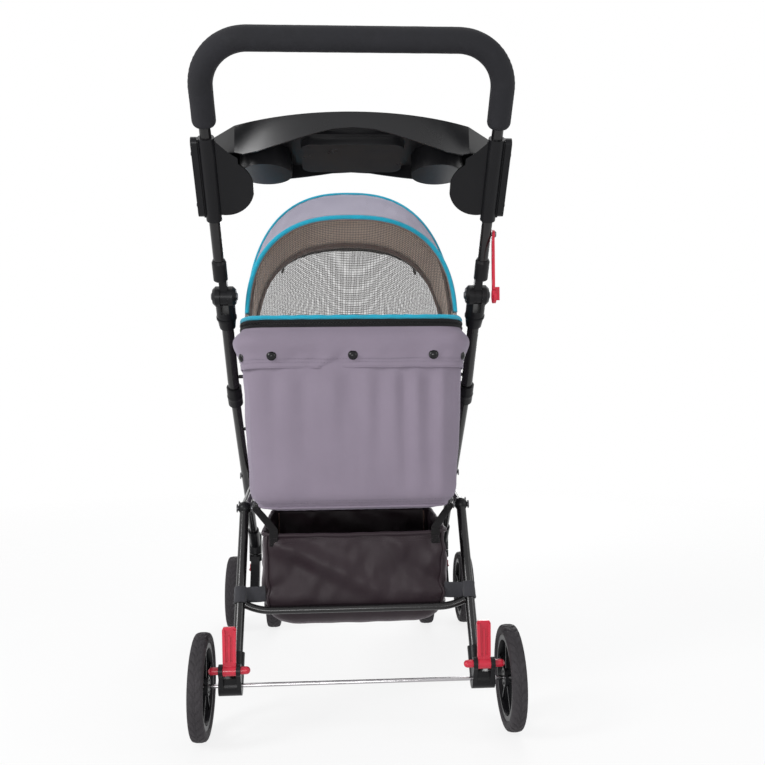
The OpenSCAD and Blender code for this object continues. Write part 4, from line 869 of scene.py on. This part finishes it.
def canopy():
    """One sheet over three hoops, its bindings, and the sleeves that hold the hoops."""
    t = arch_angles(0, 180, 110)
    back, fore = 11, 16
    rear, peak, front = (hoop(*h, t) for h in (REAR_ARCH, PEAK_HOOP, FRONT_HOOP))
    spans = [(rear, peak, k / back) for k in range(back)] + [(peak, front, k / fore) for k in range(fore + 1)]
    outer = np.array([a * (1 - f) + b * f for a, b, f in spans])
    n = outward(outer, 2)
    for j, i, x, y, z in over(outer):
        q, f = t[i], spans[j][2]
        gap = 4 * f * (1 - f)
        sag = -3.2 * gap * math.sin(q) ** 0.5
        fold = 3.6 * wobble(q * 4.5, f * 1.3 + j * 0.02, 3) * gap + 1.4 * wobble(q * 13, f * 1.6, 7) * gap
        fold += 1.3 * math.cos(q) ** 2 * gap * wobble(x / 11, y / 20, z / 55)
        pull = 0.3 * math.sin(q * 46) * (math.exp(-f / 0.12) + math.exp(-(1 - f) / 0.12))
        outer[j, i] += n[j, i] * (sag + fold + pull)
    inner = outer - n * 1.6
    for j, i, x, y, z in over(inner[1:-1]):
        inner[j + 1, i] -= n[j + 1, i] * max(0.0, 3.0 * wobble(x / 22 + y / 60, y / 34, z / 44 + 2))
    piece = slab("canopy_cloth", outer, inner, ("canopy", "lining"))
    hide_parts("canopy")
    declare_sheet(outer)
    soft(piece)
    # the peak hoop's thin blue edge, and the sewn sleeves that hold the hoops inside
    soft(tube("peak_edge", hoop(*PEAK_HOOP, t, 0.7), 2.3, "blue", 8))
    sleeves = []
    for name, row, width in (("peak", back, 14), ("front", -2, 16)):
        def section(i, a, width=width):
            c, s = np.cos(a), np.sin(a)
            return width / 2 * swell(c, 0.8), (1.0 + 1.6 * np.exp(-(c / 0.35) ** 2)) * s
        path = outer[row] - n[row] * 5.4
        sleeves.append(tube(name, path, width / 2, "hem", 20, ref=n[row], section=section))
    sleeves = merge("hoop_sleeves", sleeves)
    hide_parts("canopy_hoops")
    soft(sleeves)
    soft(tube("canopy_front_edge", hoop(*FRONT_HOOP, t, -0.8), 2.4, "hem", 10))
    for k, off in enumerate((7.0, 12.0)):
        soft(stitches(f"canopy_front_sewing_{k}", hoop(*FRONT_HOOP, t, 0.1) - (0, off, 0)))
    # bias binding over the rear arch: it covers the canopy's edge and the window's edge
    q = np.clip(t, math.radians(2.5), math.radians(177.5))
    p = hoop(*REAR_ARCH, q, -3.5) - (0, 3.9, 0)
    keep = np.concatenate([[True], np.linalg.norm(np.diff(p, axis=0), axis=1) > 0.3])
    p, q = p[keep], q[keep]
    p[:, 1] += [0.35 * wobble(i / 5, 8) for i in range(len(p))]

    def binding(i, a):
        c, s = np.cos(a), np.sin(a)
        side = abs(math.cos(q[i])) ** 1.5
        return (4.1 + 4.0 * side) * swell(c, 0.75), 3.6 * swell(s, 0.8)
    out = hoop(*REAR_ARCH, q, 10.0) - hoop(*REAR_ARCH, q, -10.0)
    bind = tube("arch_binding", p, 4.2, "blue", 18, ref=out, section=binding)
    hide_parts("arch_piping")
    soft(bind)


def window(name, node, body, hoop_y, way, foot_n, head, columns, rows):
    """A mesh panel from its foot on the rim to the hoop at its head; way is 1 at the front, -1 at the back."""
    t = arch_angles(3, 177, columns)
    v = np.linspace(0, 1, rows)[:, None, None]
    grid = foot(t, hoop_y, way, foot_n) * (1 - v) + head(t) * v
    n = outward(grid, 1) * way
    for j, i, x, _, z in over(grid):
        f = j / (rows - 1)
        wave = 8.8 * f * (1 - f) * wobble(x / 55, z / 70, 4 * way)
        scallop = 1.3 * math.sin(t[i] * 30 + 2 * wobble(t[i] * 4, 3)) * math.exp(-(1 - f) / 0.09)
        grid[j, i] += n[j, i] * (wave + scallop * (0.15 + 0.35 * (x > 0)) + 8.0 * f * (1 - f) * math.sin(t[i]))
    uvs = lengths(grid)
    if way < 0:
        uvs[:, 0] = grid[..., 0].ravel()
    piece = build(name, grid.reshape(-1, 3), grid_faces(rows, columns), "net", uvs)
    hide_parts(node)
    declare_sheet(grid)
    soft(piece, body)
    return grid, n


def windows():
    """The rear window, and the front door with its zip and two pulls."""
    rear, _ = window("rear_window", "rear_mesh", "chassis", REAR_ARCH[0] - 7, -1, 3.5,
                     lambda t: hoop(*REAR_ARCH, t, -7.4) - (0, 3.9, 0), 90, 22)
    soft(ribbon("rear_window_tape", rear[0] + 2.0 * UPRIGHT, 7, 1.4, "zip", UPRIGHT))
    soft(tube("rear_window_hem", rear[-1], 1.3, "hem", 8))
    door, n = window("door_window", "front_door", "front_door", FRONT_HOOP[0], 1, 16,
                     lambda t: hoop(*FRONT_HOOP, t) + (0, 0.4, 0), 110, 26)
    (foot_way, head_way), out = (unit(door[j] - door[j - 1]) for j in (1, -1)), n[-1]
    middle = door[-1] - head_way * 5
    pieces = [
        ribbon("door_foot_tape", door[0] + foot_way * 5, 10, 1.4, "zip", foot_way),
        ribbon("door_zip_tape", middle + out * 0.3, 12, 1.5, "zip", head_way),
        tube("door_zip_coil", middle + out * 1.4, 1.1, "cord", 8),
        stitches("door_zip_sewing", door[-1] - head_way * 10.2 + out * 1.1)]
    for k, i in enumerate((30, 80)):
        at, w, o = middle[i] + out[i] * 2.6, head_way[i], out[i]
        path = smooth_path([at, at + o * 1.5 - w * 9, at + o * 1.0 - w * 24], 14)
        pieces.append(ribbon(f"door_pull_{k}", path, 5.5, 1.6, "cord", np.cross(w, o)))
    for piece in pieces:
        soft(piece, "front_door")


# The cushion's half width and half length, and its underside and its top before it is blown up
CUSHION_HALF, CUSHION_Z = (121.0, 200.0), (319.4, 341.0)


def cushion():
    """A crowned pad; its cover is blown up by simulation, and the sewn channels are pressed in afterwards."""
    low, high = CUSHION_Z
    k = 120

    def ring(inset, z, count):
        x, y = plan(CUSHION_HALF[0] - inset, CUSHION_HALF[1] - inset, turn(count), 7, 0.0)
        return np.stack([x, MID_Y + y, np.full_like(x, z)], axis=-1)
    rows = [(low, 5.0), (low + 3, 1.2), (low + 9, 0.0), (high - 9, 0.0), (high - 3, 1.4), (high - 0.3, 6.0)]
    rows += [(high, inset) for inset in (14, 34, 60, 90, 116)]
    points = np.concatenate([ring(inset, z, k) for z, inset in rows] + [[[0, MID_Y, low], [0, MID_Y, high]]])
    e = (len(rows) - 1) * k
    faces = grid_faces(len(rows), k, True)
    faces += [((i + 1) % k, i, len(points) - 2) for i in range(k)]
    faces += [(e + i, e + (i + 1) % k, len(points) - 1) for i in range(k)]
    pad = build("cushion_pad", points, faces, "pad")
    inflate(pad, voxel=0.006, pressure=4.0, cap=0.006)
    channel(pad)
    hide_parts("cushion")
    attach(pad, "chassis")
    cord = tube("cushion_piping", ring(-0.6, 330.0, 160), 1.8, "blue", 8, True)
    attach(cord, "chassis")


def inflate(pad, voxel, pressure, cap):
    """Blows a closed mesh up as cloth, with every point's travel capped and its underside kept flat."""
    remesh = pad.modifiers.new("even", "REMESH")
    remesh.mode = "VOXEL"
    remesh.voxel_size = voxel
    mesh = bpy.data.meshes.new_from_object(pad.evaluated_get(bpy.context.evaluated_depsgraph_get()))
    pad.modifiers.clear()
    start = np.array([v.co[:] for v in mesh.vertices])
    body = link("inflating", mesh)
    cloth = body.modifiers.new("cloth", "CLOTH")
    cloth.settings.use_pressure = True
    cloth.settings.uniform_pressure_force = pressure
    cloth.settings.effector_weights.gravity = 0
    cloth.settings.quality = 6
    cloth.point_cache.frame_start, cloth.point_cache.frame_end = 1, 20
    for f in range(1, 21):
        bpy.context.scene.frame_set(f)
    blown = body.evaluated_get(bpy.context.evaluated_depsgraph_get()).to_mesh()
    move = np.array([v.co[:] for v in blown.vertices]) - start
    bpy.context.scene.frame_set(1)
    move *= np.minimum(1, cap / np.maximum(np.linalg.norm(move, axis=1, keepdims=True), 1e-9))
    final = start + move
    final[:, 2] = np.maximum(final[:, 2], start[:, 2].min())
    bpy.data.objects.remove(body)
    mesh.vertices.foreach_set("co", final.ravel())
    mesh.polygons.foreach_set("use_smooth", [True] * len(mesh.polygons))
    mesh.materials.clear()
    mesh.materials.append(MATS["pad"])
    pad.data = mesh


def channel(pad):
    """Three sewn channels across the pad and a soft dent along each."""
    for v in pad.data.vertices:
        if v.co.z > 0.334:
            x, y = v.co.x * 1000, v.co.y * 1000 + MID - MID_Y
            edge = max(0.0, 1 - (x / 118) ** 6)
            for line in (-100, 0, 100):
                v.co.z -= 0.0042 * math.exp(-((y - line) / 6.5) ** 2) * edge
            v.co.z += 0.0007 * wobble(x / 24, y / 24, 2)


# ------------------------------------------------------------------ basket pieces

B_HALF_W, B_REAR, B_LEN, B_TOP, B_FLOOR = 138.0, 70.0, 256.0, 277.0, 171.0
B_MID_Y = B_REAR + B_LEN / 2
# The basket's floor and rounded foot: how far inside the wall, and how far over B_FLOOR
BASKET_FLOOR = (
    (118, -46), (100, -45.8), (82, -45), (64, -44), (46, -41.5), (30, -37.5), (18, -31.5), (10, -24), (5, -15),
    (1.5, -5), (0.3, 4))


def basket_ring(inset, z, a):
    x, y = plan(B_HALF_W - inset, B_LEN / 2 - inset, a, 14, 0.0)
    return np.stack(np.broadcast_arrays(x, B_MID_Y + y, z), axis=-1)


def basket():
    """A sewn box whose floor sags, with creased walls, a hem and corded corners."""
    fine = np.linspace(0, 2 * math.pi, 3001)
    a = equal_steps(basket_ring(0, B_TOP, fine), fine, 240, True)
    rows = [(inset, B_FLOOR + rise) for inset, rise in BASKET_FLOOR]
    rows += [(0.0, z) for z in np.linspace(B_FLOOR + 12, B_TOP, 18)]
    outer = np.array([basket_ring(i, z, a) for i, z in rows])
    n = normals(outer, True)
    for j, i, x, y, z in over(outer):
        h, at_back = (rows[j][1] - B_FLOOR) / (B_TOP - B_FLOOR), y < B_REAR + 10
        wall = smoothstep(-0.1, 0.2, h) * smoothstep(1.02, 0.85, h)
        across = x / 132 if abs(y - B_MID_Y) > 118 else (y - B_MID_Y) / 122
        mid = max(0.0, 1 - abs(across) ** 6)
        f = (4 if at_back else 10) * wall * mid * wobble(x / 58 + h * 1.6 + 1.7, y / 58, h * 1.6)
        f += 3.0 * mid * wall * wobble(x / 27 - h * 2.2, y / 27, h * 2.2) + 1.4 * wall * wobble(x / 11, y / 11, h * 4)
        if at_back:
            f += wall * sum(ridge(x, z, line) for line in BASKET_FOLDS)
        f += 3.5 * smoothstep(120, 138, abs(x))
        if h < 0.1:
            f += (1 - wall) * 2.0 * wobble(x / 40, y / 40, 6)
        outer[j, i] += n[j, i] * f
        if h > 0.8:
            outer[j, i, 2] += (h - 0.8) / 0.2 * (1.6 * wobble(x / 34, y / 34, 2) - 2.2 * mid)
    inner = outer - n * 1.6
    piece = slab("basket_cloth", outer, inner, ("basket", "basket"), True)
    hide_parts("basket")
    parts = [piece, tube("basket_hem", outer[-1] + 0.5 * UPRIGHT, 3.0, "basket", 10, True)]
    parts += [stitches(f"basket_sewing_{k}", outer[-1 - k] + n[-1 - k] * 0.3, "dark_thread") for k in (1, 2)]
    parts.append(tube("basket_bottom_cord", outer[9] + n[9] * 0.8, 1.9, "basket", 8, True))
    for x0, word in SIDES:
        for y0, end in ((-1, "rear"), (1, "front")):
            q = math.atan2(y0 * B_LEN / 2, x0 * B_HALF_W)
            i = int(np.argmin(abs(np.angle(np.exp(1j * (a - q))))))
            cord = outer[8:, i] + n[8:, i] * 0.8
            parts.append(tube(f"basket_corner_{word}_{end}", cord, 2.0, "basket", 8))
            if y0 > 0:
                seam = inner[10:-1, i] - n[10:-1, i] * 1.2
                parts.append(tube(f"basket_inner_seam_{word}_{end}", seam, 1.3, "hem", 8))
    return parts


def rear_leg_at(z):
    """A rear leg's place along Y at height z."""
    return (z - REAR_R) * LEG_DIR[1] / LEG_DIR[2]


def straps():
    """The webbing that hangs the basket from the rear legs' hinges and the cabin's floor."""
    out = []
    hook, front = LEG_X - 20, B_REAR + B_LEN
    back_path = ((123, 67.6, 260), (123, 67.2, 279), (124.5, 72, 285.5))
    back_path += ((hook - 10, 112, 300), (hook, 137, 306), (hook, 152, 308))
    front_path = ((112, front + 2.0, B_TOP - 17), (112, front + 2.2, B_TOP + 3))
    front_path += ((112, front + 9, 301.5), (112, front + 32, 305.4))
    sewn_box = ((118, 260), (128, 260), (128, 272), (118, 272), (118, 260), (128, 272))
    for side, word in SIDES:
        for name, route, count in (("basket_strap_", back_path, 40), ("basket_front_strap_", front_path, 30)):
            path = smooth_path([(side * x, y, z) for x, y, z in route], count)
            out.append(ribbon(name + word, path, 13, 1.5, "web", (1.0, 0, 0)))
        box = resample([(side * 123 + x - 123, 66.2, z) for x, z in sewn_box], 60)
        out.append(stitches("strap_box_sewing_" + word, box, "dark_thread", 2.4, 1.0))
    return out


# A band's height on the leg, and its section: how far along the leg, and its radius
BAND_Z = 186.0
BAND_PROFILE = (
    (-12.3, 8.0), (-12.6, 9.2), (-11.5, 10.0), (-6, 9.7), (0, 9.9), (6, 9.6), (11.5, 10.0), (12.6, 9.2), (12.3, 8.0))


def bands():
    """A wide elastic band round each rear leg, and its tab to the basket."""
    e1 = np.array([1.0, 0, 0])
    e2 = np.cross(LEG_DIR, e1)
    q = turn(40)
    for side, word in SIDES:
        c = np.array([side * LEG_X, rear_leg_at(BAND_Z), BAND_Z])
        rows = []
        for h, r in BAND_PROFILE:
            rr = r + 0.25 * np.sin(q * 7 + h)
            rows.append(c + LEG_DIR * h + (rr * np.cos(q))[:, None] * e1 + (rr * np.sin(q))[:, None] * e2)
        uv = uv_grid(np.linspace(0, 60, len(q)), np.linspace(0, 26, len(rows)))
        band = build("leg_band_" + word, np.concatenate(rows), grid_faces(len(rows), len(q), True), "band", uv)
        if side < 0:
            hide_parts("basket_bands")
        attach(band, "rear_legs")
        route = ((136.5, 76, BAND_Z + 1), (146, 75, BAND_Z + 0.4), (158, 75.5, BAND_Z), (168, 72, BAND_Z))
        path = smooth_path([(side * x, y, z) for x, y, z in route], 24)
        tab = ribbon("leg_band_tab_" + word, path, 24, 1.7, "band", UPRIGHT)
        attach(tab, "rear_legs")
        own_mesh(tab)


def cross_tube():
    """The bent bar between the rear legs, drawn with its real bends."""
    y, z, end = rear_leg_at(171), 165.0, LEG_X - 7.4
    path = [(-end + 40 * f, y, z + 10 * (1 - f) ** 2) for f in np.linspace(0, 1, 9)]
    path += [(x, y, z) for x in np.linspace(-end + 60, end - 60, 11)]
    path += [(-p[0], p[1], p[2]) for p in path[8::-1]]
    bar = tube("rear_cross_bar", resample(smooth_path(path, 120), 120), 5.6, "enamel", 20)
    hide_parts("rear_cross_tube")
    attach(bar, "rear_legs")


def leg_hinges():
    """The rear legs' ball-ended hinge housings on the seat rails."""
    rail = np.array([0, 1.0, 0.0055])
    ball = 10.6 * np.exp(1j * np.radians(np.linspace(4, 88, 12)))
    along = [*-ball.real, 2, 6, 10, 14, 18, 23, 29, 32, 33.5, 34]
    radius = [*ball.imag, 10.5, 10.2, 9.8, 9.4, 9.1, 9.0, 9.0, 8.8, 8.2, 7.2]
    shells = []
    for side, _ in SIDES:
        c = LEG_HINGE + (side * LEG_X, 0, 0)
        shells.append(tube("leg_hinge", [c + rail * d for d in along], radius, "plastic", 28))
    shells = merge("leg_hinge_housings", shells)
    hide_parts("leg_hinge_forks")
    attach(shells, "chassis")


# ------------------------------------------------------------------ grip and tyres

# The grip: where it starts and how far it reaches above the hinge, its bends' radius and its own radius
GRIP_START, GRIP_REACH, GRIP_BEND, GRIP_R = 277, 393.0, 65.0, 16.3


def grip():
    """The foam sleeve round the push bar, with soft dents on the bends' insides and rolled ends."""
    corner, turned = GRIP_REACH - GRIP_BEND, np.radians(np.linspace(0, 90, 22))
    pts = [(-HANDLE_X, z) for z in np.linspace(GRIP_START, corner, 12)]
    pts += [(-HANDLE_X + GRIP_BEND * (1 - math.cos(q)), corner + GRIP_BEND * math.sin(q)) for q in turned[1:]]
    pts += [(x, GRIP_REACH) for x in np.linspace(-HANDLE_X + GRIP_BEND, 0, 20)[1:]]
    pts += [(-x, z) for x, z in pts[-2::-1]]
    count = 260
    path = resample([HINGE + (x, 0, 0) + UP * s for x, s in pts], count)
    r = np.array([GRIP_R + (0.16 * wobble(i / 9, 1) + 0.1 * wobble(i / 2.5, 5)) for i in range(count)])
    for k, d in enumerate((3.2, 1.4, 0.5)):
        r[k] -= d
        r[-1 - k] -= d

    def section(i, a):
        c, s = np.cos(a), np.sin(a)
        bent = math.exp(-((abs(i - count / 2) - 95) / 16) ** 2)
        rr = r[i] + bent * 0.22 * math.sin(i * 2.2) * np.maximum(0, -c)
        return rr * c, rr * s
    piece = tube("grip_sleeve", path, GRIP_R, "grip", 36, ref=np.cross(UP, (1, 0, 0)), section=section)
    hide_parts("foam_grip")
    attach(piece, "handle")


BLOCK_COLS = 9


def tyre(which, end, centre, radius, width, depth, count):
    """A solid tyre with count slanting tread blocks either side of a centre rib."""
    half, foot_r = width / 2, radius - depth
    # half a section: across, radius, and whether the tread is cut there
    profile = [(-0.62, foot_r, False), (-0.80, foot_r + 0.6, False), (-0.93, foot_r + 2.6, False)]
    shoulder = ((-0.99, 0.62), (-0.985, 0.42), (-0.93, 0.25), (-0.84, 0.14))
    profile += [(x, radius - depth * f, x > -0.95) for x, f in shoulder]
    profile += [(x, radius - depth * 0.085 * (x / 0.74) ** 2 - 0.02, True) for x in np.linspace(-0.74, 0, 10)]
    profile += [(-x, r, cut) for x, r, cut in profile[-2::-1]]
    cols = count * BLOCK_COLS
    points, uvs = [], []
    for x, r, cut in profile:
        for i, q in enumerate(turn(cols)):
            groove = 0.0
            if cut and abs(abs(x) - 0.10) < 0.045:
                groove = 0.9
            elif cut and abs(x) > 0.10 and (i / BLOCK_COLS + abs(x) * 0.95) % 1.0 < 0.27:
                groove = 1.1
            rr = r - groove
            points.append((centre[0] + x * half, centre[1] + rr * math.cos(q), centre[2] + rr * math.sin(q)))
            uvs.append((q * radius, x * half))
    faces = grid_faces(len(profile), cols, True)
    e = (len(profile) - 1) * cols
    faces += [(e + i, e + (i + 1) % cols, (i + 1) % cols, i) for i in range(cols)]
    piece = build(f"{end}_tread_{which}", points, faces, "tyre", uvs)
    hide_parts(f"{end}_tyre_{which}")
    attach(piece, f"{end}_wheel_{which}")


def tyres():
    for side, word in SIDES:
        tyre(word, "rear", (side * REAR_WHEEL_X, 0, REAR_R), REAR_R, 22, 15, 34)
        for kind, way in (("outer", side), ("inner", -side)):
            centre = (side * CASTER_X + way * TWIN_X, WHEELBASE, FRONT_R)
            tyre(f"{word}_{kind}", "front", centre, FRONT_R, 27, 15, 32)


# ------------------------------------------------------------------ stage

# The floor: where it starts to fade, its edge, and its paint
FADE_FROM, FLOOR_R = 0.9, 2.6
FLOOR_WHITE = (0.86, 0.86, 0.86)


def stage():
    """A white floor that fades out, an even white surround and five soft lamps."""
    floor = Mat("floor_paint", FLOOR_WHITE, 0.7)
    at = floor.coord()
    floor.colour(floor.mix(floor.noise(3, 2, 0.5), FLOOR_WHITE, (0.88, 0.88, 0.88)))
    lit = floor.math("MULTIPLY", floor.seen(), 0.82)
    lift = floor.mix(lit, floor.bsdf.outputs[0], floor.node("Emission").outputs[0])
    far = floor.node("VectorMath", operation="LENGTH")
    floor.put(far.inputs[0], at)
    fade = floor.spread(far.outputs["Value"], FADE_FROM, FLOOR_R)
    floor.surface(floor.mix(fade, lift, floor.node("BsdfTransparent").outputs[0]))
    rows, k = 12, 64
    points = [(0.0, 0.0, 0.0)]
    for j in range(1, rows + 1):
        r = FLOOR_R * j / rows
        points += [(r * math.cos(q), r * math.sin(q), 0.0) for q in turn(k)]
    faces = [(0, 1 + i, 1 + (i + 1) % k) for i in range(k)]
    faces += [(a, d, c, b) for a, b, c, d in grid_faces(rows, k, True, 1)]
    mesh = bpy.data.meshes.new("floor")
    mesh.from_pydata(points, [], faces)
    mesh.materials.append(floor.m)
    o = link("floor", mesh)
    o.location = (0, 0, -0.0006)

    world = bpy.data.worlds.new("studio")
    bpy.context.scene.world = world
    world.use_nodes = True
    world.node_tree.nodes.clear()
    sky = Tree(world.node_tree)
    shaders = []
    for colour, strength in (((0.97, 0.98, 1.0), 0.45), ((1, 1, 1), 1.0)):
        n = sky.node("Background")
        sky.put(n.inputs["Color"], (*colour, 1))
        sky.put(n.inputs["Strength"], strength)
        shaders.append(n.outputs[0])
    sky.put(sky.node("OutputWorld").inputs[0], sky.mix(sky.seen(), *shaders))

    lamp("key", (-2.3, -1.5, 1.7), (0, 0, 0.5), (0.8, 1.3), 50)
    lamp("fill", (2.2, -1.2, 1.1), (0, 0, 0.4), (0.9, 1.5), 12)
    lamp("low", (-0.4, -2.6, 0.35), (0, 0, 0.7), (1.2, 0.5), 22)
    lamp("top", (0.1, 0.4, 2.9), (0, 0, 0.5), (1.6, 1.6), 14)
    lamp("back", (0.5, 2.4, 1.0), (0, 0, 0.65), (1.4, 1.0), 20)


# ------------------------------------------------------------------ assembly

camera()
stage()

for name, node in frame["nodes"].items():
    slot = next((s["material_slot"] for s in frame["record"]["subparts"] if s["node"] == name), "black_plastic")
    node.data.materials.clear()
    node.data.materials.append(MATS[SLOT_MATERIAL[slot]])

cabin_shell()
rim()
flap()
canopy()
windows()
cushion()
grip()
tyres()
bands()
cross_tube()
leg_hinges()

for piece in SQUASHED:
    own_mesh(piece)
for piece in basket() + straps():
    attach(piece, "chassis")
    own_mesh(piece)
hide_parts("basket_straps")
